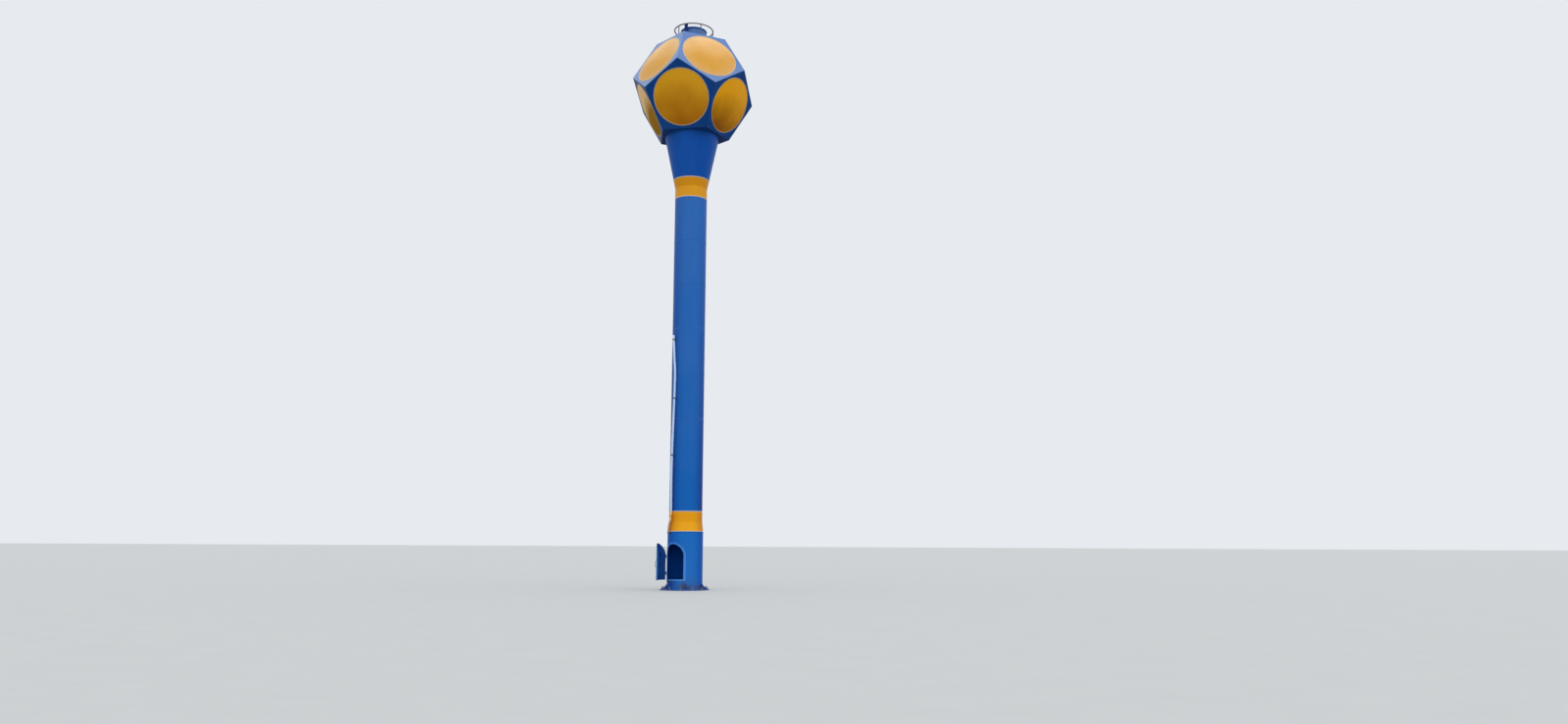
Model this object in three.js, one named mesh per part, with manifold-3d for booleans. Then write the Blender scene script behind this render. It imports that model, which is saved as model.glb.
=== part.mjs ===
// Steel water tower: a round riser shaft under a twelve-sided tank, with an arched inspection door.
// Millimetres, +Z up. The origin is on the ground at the middle of the base plate.
// Azimuths are in degrees from -Y towards +X. One lower panel of the tank faces -Y.
import * as THREE from "three";
import { mergeVertices } from "three/addons/utils/BufferGeometryUtils.js";
import Module from "manifold-3d";

// Fits: the slit between welded neighbours, the free space round a moving piece, and how far two
// joined shapes of one piece run into each other
const SLIT = 0.3;
const DOOR_CLEARANCE = 5;
const OVERRUN = 1;

// Round steelwork is faceted in steps of ten degrees, and rods and thin pipes more coarsely
const TURN = 360;
const FACETS = 36;
const FACET_STEP = TURN / FACETS;
const ROD_FACETS = 16;
const SLIM_ROD_FACETS = 8;
const HOOP_FACETS = 6;

// Corners of a mesh that are closer than this are one corner
const MERGE_DISTANCE = 1e-3;

// Base plate and its stiffeners
const BASE_PLATE_RADIUS = 640;
const BASE_PLATE_THICKNESS = 25;
const STIFFENER_COUNT = 6;
const STIFFENER_FIRST_AZIMUTH = 20;
const STIFFENER_HEIGHT = 150;
const STIFFENER_REACH = 130;
const STIFFENER_TOE = 25;
const STIFFENER_THICKNESS = 10;

// Base cylinder, closed above by the plate under the water
const BASE_RADIUS = 465;
const BASE_WALL = 10;
const BASE_TOP = 1490;
const SHAFT_BOTTOM_TOP = 1500;

// Doorway: an arched opening cut straight through the base cylinder
const DOOR_AZIMUTH = -27.7;
const DOOR_HALF_WIDTH = 290;
const DOOR_SILL = 280;
const DOOR_APEX = 1180;
const DOOR_ARCH_RISE = 290;
const ARCH_STEPS = 9;
const LINTEL_BOTTOM = 940;
const FRAME_BORDER = 45;
const FRAME_THICKNESS = 8;

// Door leaf, shut over the frame, and the two hinges at its left edge
const LEAF_OVERLAP = 20;
const LEAF_THICKNESS = 8;
const LEAF_OPEN_ANGLE = 65;
const HINGE_FROM_DOOR = 43;
const HINGE_AZIMUTH = DOOR_AZIMUTH - HINGE_FROM_DOOR;
const HINGE_RADIUS = 493;
const HINGE_HEIGHTS = [430, 860];
const PIN_RADIUS = 6;
const KNUCKLE_BORE = 6.5;
const KNUCKLE_RADIUS = 12;
const KNUCKLE_HEIGHT = 60;
const LUG_GAP = 0.5;
const LUG_HEIGHT = 12;
const LUG_WIDTH = 24;
const STRAP_SPAN = 24;
const STRAP_HEIGHT = 50;
const STRAP_THICKNESS = 6;

// Riser shaft: two yellow bands and seven courses of plate between them
const SHAFT_RADIUS = 435;
const SHAFT_WALL = 9;
const LOWER_BAND_MIDDLE = 1770;
const LOWER_BAND_TOP = 2034;
const COURSE_COUNT = 7;
const UPPER_BAND_BOTTOM = 10522;
const FLARE_BOTTOM = 10826;
const UPPER_BAND_TOP = 11075;
const FLARE_TOP_RADIUS = 745;

// Tank: a regular dodecahedron standing on a face
const SIDES = 5;
const PANEL_STEP = TURN / SIDES;
const TANK_EDGE = 1210;
const TANK_TOP = 15000;
const TANK_PLATE = 6;
const IN_RADIUS = TANK_EDGE * Math.sqrt(250 + 110 * Math.sqrt(5)) / 20;
const FACE_RADIUS = TANK_EDGE / (2 * Math.sin(Math.PI / SIDES));
const FACE_TILT = THREE.MathUtils.radToDeg(Math.atan(0.5));
const TANK_MIDDLE = TANK_TOP - IN_RADIUS;
const TANK_BOTTOM = TANK_TOP - 2 * IN_RADIUS;
const SEAM_INSET = 0.2;
const FLOOR_OPENING = 690;

// Dished round plate let into each side panel
const DISC_RADIUS = 755;
const DISC_RISE = 55;
const DISC_FACETS = 32;
const DISC_RINGS = 3;

// Manhole, its lid, the guard ring round it and the vent beside it
const MANHOLE_OPENING = 300;
const NECK_RADIUS = 345;
const NECK_WALL = 8;
const NECK_TOP = 15427;
const LID_RADIUS = 360;
const LID_WALL = 6;
const LID_TOP = 15445;
const LID_SKIRT_BOTTOM = 15395;
const RING_RADIUS = 535;
const RING_HEIGHT = 15450;
const RING_PIPE_RADIUS = 17;
const POST_RADIUS = 15;
const POST_COUNT = 5;
const VENT_RADIUS = 51;
const VENT_WALL = 4;
const VENT_TOP = 15485;
const VENT_AZIMUTH = -14;
const VENT_FROM_AXIS = 440;

// Side pipe: it bows a little between its clips and follows the taper of the lower band. Each point is
// a height, an azimuth and, where the pipe stands out further than usual, a distance from the axis.
const PIPE_RADIUS = 28;
const PIPE_WALL = 3;
const PIPE_FROM_AXIS = 480;
const PIPE_ROUTE = [
  [1440, -46.6, 510],
  [1560, -45.8, 504],
  [1690, -45, 490],
  [1800, -41.6, 481],
  [1950, -39.2],
  [3090, -39.6],
  [4170, -36],
  [5100, -31.9],
  [5700, -31.2],
  [6100, -35.2],
  [6700, -42],
];
const PIPE_STEPS = 24;
const PIPE_SIDES = 8;
const PIPE_SEARCH_STEPS = 200;
const CLIP_HEIGHTS = [1900, 3500, 5000, 6580];
const CLIP_SIZE = 40;
const CLIP_BAND = 6;

const wasm = await Module();
wasm.setup();

const radians = THREE.MathUtils.degToRad;
const tower = new THREE.Group();

const FINISHES = {
  bluePaint: { color: 0x2359a8, roughness: 0.4, metalness: 0 },
  darkBluePaint: { color: 0x17418f, roughness: 0.45, metalness: 0 },
  yellowPaint: { color: 0xd2941e, roughness: 0.45, metalness: 0 },
  palePipe: { color: 0xbedcfe, roughness: 0.5, metalness: 0 },
  darkSteel: { color: 0x3a3f4c, roughness: 0.55, metalness: 0.6 },
};

// Adds one named piece to a parent group, at a height above that group's origin.
function addPiece(parent, name, geometry, finish, height = 0) {
  const piece = new THREE.Mesh(geometry, new THREE.MeshStandardMaterial(FINISHES[finish]));
  piece.name = name;
  piece.position.z = height;
  parent.add(piece);
  return piece;
}

function atAzimuth(radius, azimuth, height = 0) {
  const angle = radians(azimuth);
  return new THREE.Vector3(radius * Math.sin(angle), -radius * Math.cos(angle), height);
}

// Distance from the axis to the faceted outline of a round plate, at any azimuth.
function facetRadius(radius, azimuth) {
  const withinFacet = THREE.MathUtils.euclideanModulo(azimuth, FACET_STEP) - FACET_STEP / 2;
  return radius * Math.cos(radians(FACET_STEP / 2)) / Math.cos(radians(withinFacet));
}

// Turns a closed profile of [radius, height] points round the Z axis.
function turned(profile, facets = FACETS) {
  const points = profile.map(([radius, height]) => new THREE.Vector2(radius, height));
  const geometry = new THREE.LatheGeometry(points, facets);
  geometry.rotateX(Math.PI / 2);
  return geometry;
}

// A round wall standing on height 0, straight or conical.
function roundWall(bottomRadius, topRadius, wall, height, facets = FACETS) {
  const profile = [
    [bottomRadius, 0],
    [topRadius, height],
    [topRadius - wall, height],
    [bottomRadius - wall, 0],
    [bottomRadius, 0],
  ];
  return turned(profile, facets);
}

// Part of a round wall between two azimuths, standing on height 0.
function wallSector(radius, wall, from, to, height) {
  const azimuths = [from];
  for (let azimuth = Math.floor(from / FACET_STEP + 1) * FACET_STEP; azimuth < to; azimuth += FACET_STEP) {
    azimuths.push(azimuth);
  }
  azimuths.push(to);
  const rim = (size) => azimuths.map((azimuth) => atAzimuth(facetRadius(size, azimuth), azimuth));
  const outline = [...rim(radius), ...rim(radius - wall).reverse()];
  const shape = new THREE.Shape(outline.map((point) => new THREE.Vector2(point.x, point.y)));
  return new THREE.ExtrudeGeometry(shape, { depth: height, bevelEnabled: false });
}

function toSolid(geometry) {
  const bare = geometry.clone();
  bare.deleteAttribute("normal");
  bare.deleteAttribute("uv");
  const merged = mergeVertices(bare, MERGE_DISTANCE);
  const vertProperties = new Float32Array(merged.attributes.position.array);
  const triVerts = new Uint32Array(merged.index.array);
  return new wasm.Manifold(new wasm.Mesh({ numProp: 3, vertProperties, triVerts }));
}

function toGeometry(solid) {
  const { vertProperties, triVerts } = solid.getMesh();
  const indexed = new THREE.BufferGeometry();
  indexed.setAttribute("position", new THREE.BufferAttribute(vertProperties, 3));
  indexed.setIndex(new THREE.BufferAttribute(triVerts, 1));
  const geometry = indexed.toNonIndexed();
  geometry.computeVertexNormals();
  return geometry;
}

function block(width, depth, height, centre) {
  return new THREE.BoxGeometry(width, depth, height).translate(centre.x, centre.y, centre.z);
}

function rod(radius, height, bottom, facets = ROD_FACETS) {
  const geometry = turned([[0, 0], [radius, 0], [radius, height], [0, height]], facets);
  return geometry.translate(bottom.x, bottom.y, bottom.z);
}

function basePlate() {
  const rim = BASE_PLATE_RADIUS;
  return turned([[0, 0], [rim, 0], [rim, BASE_PLATE_THICKNESS], [0, BASE_PLATE_THICKNESS]]);
}

// One stiffener between the base plate and the base cylinder, drawn at azimuth 0 and turned to its own.
function baseStiffener(azimuth) {
  const profile = new THREE.Shape();
  profile.moveTo(0, 0);
  profile.lineTo(STIFFENER_REACH, 0);
  profile.lineTo(STIFFENER_REACH, STIFFENER_TOE);
  profile.lineTo(STIFFENER_TOE, STIFFENER_HEIGHT);
  profile.lineTo(0, STIFFENER_HEIGHT);
  const plate = new THREE.ExtrudeGeometry(profile, { depth: STIFFENER_THICKNESS, bevelEnabled: false });
  const along = new THREE.Vector3(0, -1, 0);
  const up = new THREE.Vector3(0, 0, 1);
  const sideways = new THREE.Vector3().crossVectors(along, up);
  plate.translate(BASE_RADIUS + SLIT, 0, -STIFFENER_THICKNESS / 2);
  plate.applyMatrix4(new THREE.Matrix4().makeBasis(along, up, sideways));
  return plate.rotateZ(radians(azimuth));
}

// A prism with an arched head that points straight out through the doorway.
function archPrism(border) {
  const halfWidth = DOOR_HALF_WIDTH + border;
  const rise = DOOR_ARCH_RISE + border;
  const springing = DOOR_APEX - DOOR_ARCH_RISE;
  const shape = new THREE.Shape();
  shape.moveTo(-halfWidth, DOOR_SILL - border);
  shape.lineTo(halfWidth, DOOR_SILL - border);
  shape.lineTo(halfWidth, springing);
  shape.absellipse(0, springing, halfWidth, rise, 0, Math.PI);
  const depth = 2 * BASE_RADIUS;
  const prism = new THREE.ExtrudeGeometry(shape, { depth, bevelEnabled: false, curveSegments: ARCH_STEPS });
  const across = new THREE.Vector3(Math.cos(radians(DOOR_AZIMUTH)), Math.sin(radians(DOOR_AZIMUTH)), 0);
  const up = new THREE.Vector3(0, 0, 1);
  const outward = atAzimuth(1, DOOR_AZIMUTH);
  prism.applyMatrix4(new THREE.Matrix4().makeBasis(across, up, outward));
  return toSolid(prism);
}

// The part of a round skin that covers the doorway, with its border.
function archedSkin(outerRadius, thickness, border) {
  const bottom = DOOR_SILL - border - OVERRUN;
  const top = DOOR_APEX + border + OVERRUN;
  const skin = roundWall(outerRadius, outerRadius, thickness, top - bottom).translate(0, 0, bottom);
  return toSolid(skin).intersect(archPrism(border));
}

const hingeAxis = atAzimuth(HINGE_RADIUS, HINGE_AZIMUTH);

// Stiffening frame round the doorway, with the fixed pins and lugs of the two hinges.
function doorFrame() {
  const outerRadius = BASE_RADIUS + SLIT + FRAME_THICKNESS;
  let solid = archedSkin(outerRadius, FRAME_THICKNESS, FRAME_BORDER).subtract(archPrism(0));
  const lugStart = outerRadius - FRAME_THICKNESS / 2;
  const lugEnd = HINGE_RADIUS + KNUCKLE_RADIUS;
  const pinReach = KNUCKLE_HEIGHT / 2 + LUG_GAP + LUG_HEIGHT;
  for (const height of HINGE_HEIGHTS) {
    const pin = rod(PIN_RADIUS, 2 * pinReach, hingeAxis.clone().setZ(height - pinReach));
    solid = solid.add(toSolid(pin));
    for (const side of [-1, 1]) {
      const middle = height + side * (pinReach - LUG_HEIGHT / 2);
      const centre = new THREE.Vector3(0, -(lugStart + lugEnd) / 2, middle);
      const lug = block(LUG_WIDTH, lugEnd - lugStart, LUG_HEIGHT, centre);
      solid = solid.add(toSolid(lug.rotateZ(radians(HINGE_AZIMUTH))));
    }
  }
  return toGeometry(solid);
}

// Door leaf with its strap hinges, drawn shut and measured from the hinge axis.
function doorLeaf() {
  const innerRadius = BASE_RADIUS + SLIT + FRAME_THICKNESS + DOOR_CLEARANCE;
  const outerRadius = innerRadius + LEAF_THICKNESS;
  let solid = archedSkin(outerRadius, LEAF_THICKNESS, LEAF_OVERLAP);
  for (const height of HINGE_HEIGHTS) {
    const strap = wallSector(
      outerRadius + STRAP_THICKNESS,
      STRAP_THICKNESS + OVERRUN / 2,
      HINGE_AZIMUTH,
      HINGE_AZIMUTH + STRAP_SPAN,
      STRAP_HEIGHT,
    ).translate(0, 0, height - STRAP_HEIGHT / 2);
    const knuckleBottom = hingeAxis.clone().setZ(height - KNUCKLE_HEIGHT / 2);
    const boreBottom = hingeAxis.clone().setZ(height - KNUCKLE_HEIGHT);
    solid = solid
      .add(toSolid(strap))
      .add(toSolid(rod(KNUCKLE_RADIUS, KNUCKLE_HEIGHT, knuckleBottom)))
      .subtract(toSolid(rod(KNUCKLE_BORE, 2 * KNUCKLE_HEIGHT, boreBottom)));
  }
  return toGeometry(solid).translate(-hingeAxis.x, -hingeAxis.y, 0);
}

// The wall over the doorway, cut by the arch.
function lintel(from, to) {
  const wall = wallSector(BASE_RADIUS, BASE_WALL, from, to, BASE_TOP - LINTEL_BOTTOM);
  return toGeometry(toSolid(wall.translate(0, 0, LINTEL_BOTTOM)).subtract(archPrism(0)));
}

function buildBase() {
  addPiece(tower, "base_plate", basePlate(), "darkBluePaint");
  const floor = BASE_PLATE_THICKNESS + SLIT;
  for (let index = 0; index < STIFFENER_COUNT; index += 1) {
    const azimuth = STIFFENER_FIRST_AZIMUTH + index * TURN / STIFFENER_COUNT;
    addPiece(tower, `base_stiffener_${index + 1}`, baseStiffener(azimuth), "darkBluePaint", floor);
  }
  const halfBay = THREE.MathUtils.radToDeg(Math.asin(DOOR_HALF_WIDTH / BASE_RADIUS));
  const slitAngle = THREE.MathUtils.radToDeg(SLIT / BASE_RADIUS);
  const rightJamb = DOOR_AZIMUTH + halfBay;
  const leftJamb = DOOR_AZIMUTH - halfBay + TURN;
  const wallNames = ["base_wall_right", "base_wall_back", "base_wall_left"];
  const span = (leftJamb - rightJamb) / wallNames.length;
  wallNames.forEach((name, index) => {
    const from = rightJamb + index * span + slitAngle / 2;
    const to = rightJamb + (index + 1) * span - slitAngle / 2;
    addPiece(tower, name, wallSector(BASE_RADIUS, BASE_WALL, from, to, BASE_TOP - floor), "bluePaint", floor);
  });
  const bayFrom = DOOR_AZIMUTH - halfBay + slitAngle / 2;
  const bayTo = rightJamb - slitAngle / 2;
  const sill = wallSector(BASE_RADIUS, BASE_WALL, bayFrom, bayTo, DOOR_SILL - floor);
  addPiece(tower, "base_wall_sill", sill, "bluePaint", floor);
  addPiece(tower, "base_wall_lintel", lintel(bayFrom, bayTo), "bluePaint");
  addPiece(tower, "door_frame", doorFrame(), "bluePaint");

  const doorGroup = new THREE.Group();
  doorGroup.position.set(hingeAxis.x, hingeAxis.y, 0);
  doorGroup.rotation.z = radians(-LEAF_OPEN_ANGLE);
  tower.add(doorGroup);
  addPiece(doorGroup, "base_door", doorLeaf(), "bluePaint");
}

function buildRiser() {
  const floorThickness = SHAFT_BOTTOM_TOP - BASE_TOP - SLIT;
  const floor = turned([[0, 0], [BASE_RADIUS, 0], [BASE_RADIUS, floorThickness], [0, floorThickness]]);
  addPiece(tower, "shaft_bottom", floor, "bluePaint", BASE_TOP + SLIT);

  const addRing = (name, from, to, bottomRadius, topRadius, finish) => {
    const geometry = roundWall(bottomRadius, topRadius, SHAFT_WALL, to - from - SLIT);
    addPiece(tower, name, geometry, finish, from + SLIT);
  };
  addRing("lower_band_taper", SHAFT_BOTTOM_TOP, LOWER_BAND_MIDDLE, BASE_RADIUS, SHAFT_RADIUS, "yellowPaint");
  addRing("lower_band_ring", LOWER_BAND_MIDDLE, LOWER_BAND_TOP, SHAFT_RADIUS, SHAFT_RADIUS, "yellowPaint");
  const course = (UPPER_BAND_BOTTOM - LOWER_BAND_TOP) / COURSE_COUNT;
  for (let index = 0; index < COURSE_COUNT; index += 1) {
    const from = LOWER_BAND_TOP + index * course;
    addRing(`shaft_course_${index + 1}`, from, from + course, SHAFT_RADIUS, SHAFT_RADIUS, "bluePaint");
  }
  addRing("upper_band_ring", UPPER_BAND_BOTTOM, FLARE_BOTTOM, SHAFT_RADIUS, SHAFT_RADIUS, "yellowPaint");
  const flareSlope = (FLARE_TOP_RADIUS - SHAFT_RADIUS) / (TANK_BOTTOM - FLARE_BOTTOM);
  const bandTopRadius = SHAFT_RADIUS + flareSlope * (UPPER_BAND_TOP - FLARE_BOTTOM);
  addRing("upper_band_cone", FLARE_BOTTOM, UPPER_BAND_TOP, SHAFT_RADIUS, bandTopRadius, "yellowPaint");
  addRing("flare_cone", UPPER_BAND_TOP, TANK_BOTTOM - SLIT, bandTopRadius, FLARE_TOP_RADIUS, "bluePaint");
}

// One pentagon plate of the tank with a round opening. Its outer face is at height 0, its edges are
// mitred towards the middle of the tank, and one corner points along +Y or -Y.
function tankPlate(opening, cornerUp) {
  const turn = cornerUp ? Math.PI / 2 : -Math.PI / 2;
  const cornerRadius = FACE_RADIUS - SEAM_INSET / Math.cos(Math.PI / SIDES);
  const corner = (index) => {
    const angle = turn + index * 2 * Math.PI / SIDES;
    return new THREE.Vector2(cornerRadius * Math.cos(angle), cornerRadius * Math.sin(angle));
  };
  const shape = new THREE.Shape(Array.from({ length: SIDES }, (_, index) => corner(index)));
  const holePoints = Array.from({ length: DISC_FACETS }, (_, index) => {
    const angle = -index * 2 * Math.PI / DISC_FACETS;
    return new THREE.Vector2(opening * Math.cos(angle), opening * Math.sin(angle));
  });
  shape.holes.push(new THREE.Path(holePoints));
  const plate = new THREE.ExtrudeGeometry(shape, { depth: TANK_PLATE, bevelEnabled: false });
  plate.translate(0, 0, -TANK_PLATE);
  const shrink = (IN_RADIUS - TANK_PLATE) / IN_RADIUS;
  const position = plate.attributes.position;
  for (let index = 0; index < position.count; index += 1) {
    const reach = Math.hypot(position.getX(index), position.getY(index));
    const isInnerCorner = position.getZ(index) < -TANK_PLATE / 2 && reach > cornerRadius - OVERRUN;
    if (isInnerCorner) {
      position.setX(index, position.getX(index) * shrink);
      position.setY(index, position.getY(index) * shrink);
    }
  }
  plate.computeVertexNormals();
  return plate;
}

// A shallow dished plate whose rim lies in the opening of its panel.
function dishedDisc() {
  const rimRadius = DISC_RADIUS - SLIT;
  const sphere = (rimRadius ** 2 + DISC_RISE ** 2) / (2 * DISC_RISE);
  const skin = [];
  for (let ring = 0; ring <= DISC_RINGS; ring += 1) {
    const radius = rimRadius * (1 - ring / DISC_RINGS);
    skin.push([radius, Math.sqrt(sphere ** 2 - radius ** 2) - sphere + DISC_RISE]);
  }
  const inside = skin.map(([radius, height]) => [radius, height - TANK_PLATE]).reverse();
  return turned([...inside, ...skin], DISC_FACETS);
}

// A group whose +Z points out of one face of the tank and whose origin is the middle of that face.
function faceGroup(tank, azimuth, elevation) {
  const turnedGroup = new THREE.Group();
  turnedGroup.rotation.z = radians(azimuth);
  const tiltedGroup = new THREE.Group();
  tiltedGroup.rotation.x = radians(TURN / 4 - elevation);
  const face = new THREE.Group();
  face.position.z = IN_RADIUS;
  tank.add(turnedGroup);
  turnedGroup.add(tiltedGroup);
  tiltedGroup.add(face);
  return face;
}

function buildTank() {
  const tank = new THREE.Group();
  tank.position.z = TANK_MIDDLE;
  tower.add(tank);
  const lowest = faceGroup(tank, TURN / 2, -TURN / 4);
  addPiece(lowest, "tank_floor", tankPlate(FLOOR_OPENING, true), "darkBluePaint");
  for (let index = 0; index < SIDES; index += 1) {
    const lower = faceGroup(tank, PANEL_STEP * index, -FACE_TILT);
    addPiece(lower, `lower_panel_${index + 1}`, tankPlate(DISC_RADIUS, true), "bluePaint");
    addPiece(lower, `lower_disc_${index + 1}`, dishedDisc(), "yellowPaint");
    const upper = faceGroup(tank, PANEL_STEP * (index + 0.5), FACE_TILT);
    addPiece(upper, `upper_panel_${index + 1}`, tankPlate(DISC_RADIUS, false), "bluePaint");
    addPiece(upper, `upper_disc_${index + 1}`, dishedDisc(), "yellowPaint");
  }
  const highest = faceGroup(tank, 0, TURN / 4);
  addPiece(highest, "tank_top", tankPlate(MANHOLE_OPENING, false), "bluePaint");
}

function manholeLid() {
  const skirtInside = LID_RADIUS - LID_WALL;
  return turned([
    [0, NECK_TOP + SLIT],
    [skirtInside, NECK_TOP + SLIT],
    [skirtInside, LID_SKIRT_BOTTOM],
    [LID_RADIUS, LID_SKIRT_BOTTOM],
    [LID_RADIUS, LID_TOP],
    [0, LID_TOP],
  ]);
}

// The guard ring and its posts are one welded piece standing on the tank top.
function guardRing() {
  const foot = TANK_TOP + SLIT;
  const hoop = new THREE.TorusGeometry(RING_RADIUS, RING_PIPE_RADIUS, HOOP_FACETS, FACETS);
  let solid = toSolid(hoop.translate(0, 0, RING_HEIGHT));
  for (let index = 0; index < POST_COUNT; index += 1) {
    const bottom = atAzimuth(RING_RADIUS, TURN / POST_COUNT * (index + 0.5), foot);
    solid = solid.add(toSolid(rod(POST_RADIUS, RING_HEIGHT - foot, bottom, SLIM_ROD_FACETS)));
  }
  return toGeometry(solid);
}

function buildHead() {
  const foot = TANK_TOP + SLIT;
  const neck = roundWall(NECK_RADIUS, NECK_RADIUS, NECK_WALL, NECK_TOP - foot);
  addPiece(tower, "manhole_neck", neck, "bluePaint", foot);
  addPiece(tower, "manhole_lid", manholeLid(), "darkBluePaint");
  addPiece(tower, "guard_ring", guardRing(), "darkSteel");
  const ventWall = roundWall(VENT_RADIUS, VENT_RADIUS, VENT_WALL, VENT_TOP - foot, ROD_FACETS);
  const vent = addPiece(tower, "vent_pipe", ventWall, "darkBluePaint");
  vent.position.copy(atAzimuth(VENT_FROM_AXIS, VENT_AZIMUTH, foot));
}

const pipeCurve = new THREE.CatmullRomCurve3(
  PIPE_ROUTE.map(([height, azimuth, distance = PIPE_FROM_AXIS]) => atAzimuth(distance, azimuth, height)),
);

function circlePoints(radius) {
  return Array.from({ length: PIPE_SIDES }, (_, index) => {
    const angle = index * 2 * Math.PI / PIPE_SIDES;
    return new THREE.Vector2(radius * Math.cos(angle), radius * Math.sin(angle));
  });
}

function alongPipe(outerRadius, innerRadius) {
  const shape = new THREE.Shape(circlePoints(outerRadius));
  if (innerRadius > 0) {
    shape.holes.push(new THREE.Path(circlePoints(innerRadius).reverse()));
  }
  return new THREE.ExtrudeGeometry(shape, { steps: PIPE_STEPS, extrudePath: pipeCurve });
}

// A clip stands on the shaft and closes round the pipe.
function pipeClip(height, pipeSpace, shaftSpace) {
  let nearest = 0;
  for (let step = 0; step <= PIPE_SEARCH_STEPS; step += 1) {
    const along = step / PIPE_SEARCH_STEPS;
    if (pipeCurve.getPointAt(along).z <= height) {
      nearest = along;
    }
  }
  const middle = pipeCurve.getPointAt(nearest).setZ(height);
  const azimuth = Math.atan2(middle.x, -middle.y);
  const foot = SHAFT_RADIUS - 2 * SHAFT_WALL;
  const centre = new THREE.Vector3(0, -(foot + PIPE_FROM_AXIS) / 2, height);
  const stand = block(CLIP_SIZE, PIPE_FROM_AXIS - foot, CLIP_SIZE, centre).rotateZ(azimuth);
  const bandRadius = PIPE_RADIUS + CLIP_BAND;
  const band = rod(bandRadius, CLIP_SIZE, middle.clone().setZ(height - CLIP_SIZE / 2));
  return toGeometry(toSolid(stand).add(toSolid(band)).subtract(pipeSpace).subtract(shaftSpace));
}

function buildSidePipe() {
  addPiece(tower, "side_pipe", alongPipe(PIPE_RADIUS, PIPE_RADIUS - PIPE_WALL), "palePipe");
  const pipeSpace = toSolid(alongPipe(PIPE_RADIUS + SLIT, 0));
  const shaftSize = SHAFT_RADIUS + SLIT;
  const shaftSpace = toSolid(turned([[0, 0], [shaftSize, 0], [shaftSize, TANK_BOTTOM], [0, TANK_BOTTOM]]));
  CLIP_HEIGHTS.forEach((height, index) => {
    const finish = height < LOWER_BAND_TOP ? "yellowPaint" : "darkSteel";
    addPiece(tower, `pipe_clip_${index + 1}`, pipeClip(height, pipeSpace, shaftSpace), finish);
  });
}

buildBase();
buildRiser();
buildTank();
buildHead();
buildSidePipe();

export default tower;
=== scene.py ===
"""Visual model of a steel water tower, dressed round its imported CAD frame.

Metres, +Z up, in the frame of the CAD part. The origin is on the ground at the middle of the base
plate. Azimuths are in degrees from -Y towards +X, and one lower panel of the tank faces -Y.
"""

import logging
import math
from collections.abc import Iterable, Sequence
from dataclasses import dataclass, replace
from enum import Enum

import bmesh
import bpy
from mathutils import Matrix, Vector


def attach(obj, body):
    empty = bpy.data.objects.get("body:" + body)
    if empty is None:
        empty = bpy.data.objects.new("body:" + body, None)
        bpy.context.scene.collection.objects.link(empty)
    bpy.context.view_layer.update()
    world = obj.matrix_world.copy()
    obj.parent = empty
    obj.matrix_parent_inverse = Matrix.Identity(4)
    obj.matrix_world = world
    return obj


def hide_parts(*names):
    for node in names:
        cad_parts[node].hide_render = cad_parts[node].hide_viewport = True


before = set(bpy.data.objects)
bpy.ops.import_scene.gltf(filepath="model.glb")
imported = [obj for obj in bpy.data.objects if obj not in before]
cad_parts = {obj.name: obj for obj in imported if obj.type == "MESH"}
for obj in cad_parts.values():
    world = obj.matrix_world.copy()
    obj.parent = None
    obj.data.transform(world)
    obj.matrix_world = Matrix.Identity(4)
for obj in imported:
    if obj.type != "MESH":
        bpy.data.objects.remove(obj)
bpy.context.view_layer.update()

LOG = logging.getLogger("water_tower")

Triple = tuple[float, float, float]
Colour = Triple
Pair = tuple[float, float]

TURN = 360.0
FIFTH = TURN / 5
ROUND_STEPS = 96  # facets in a full turn of the tower's own walls
LIT_SIDE = 18.0  # azimuth of the lit side; the sides turned away from it get painted shade
SHAFT_RADIUS = 0.435
BASE_RADIUS = 0.465
LOWER_BAND_TOP = 2.034
SEAM_BEAD = 0.005
FINE_BEAD = 0.004


class Slot(Enum):
    """Material slots of the record."""

    BLUE = "blue_paint"
    DARK_BLUE = "dark_blue_paint"
    YELLOW = "yellow_paint"
    PIPE = "pale_pipe"
    STEEL = "dark_steel"


class Body(Enum):
    """Moving bodies of the record."""

    TOWER = "tower"
    DOOR = "door"


class Edge(Enum):
    """Edges of a band."""

    LOW = "low"
    HIGH = "high"


def at_azimuth(radius: float, azimuth: float, height: float = 0.0) -> Vector:
    """Returns the point at a radius in metres, an azimuth in degrees and a height in metres."""
    angle = math.radians(azimuth)
    return Vector((radius * math.sin(angle), -radius * math.cos(angle), height))


def spread(low: float, high: float, steps: int) -> list[float]:
    """Returns evenly spaced values from one to the other, both included."""
    return [low + (high - low) * step / steps for step in range(steps + 1)]


def circle(radius: float, height: float = 0.0, steps: int = ROUND_STEPS) -> list[Vector]:
    """Returns points round a level circle."""
    return [at_azimuth(radius, azimuth, height) for azimuth in spread(0.0, TURN, steps)[:-1]]


def spun(degrees: float, axis: str = "Z") -> Matrix:
    """Returns a rotation about an axis through the origin."""
    return Matrix.Rotation(math.radians(degrees), 4, axis)


def facing(azimuth: float, elevation: float = 0.0) -> Matrix:
    """Returns the rotation that points +Z outwards at an azimuth and an elevation."""
    return spun(azimuth) @ spun(90.0 - elevation, "X")


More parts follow.
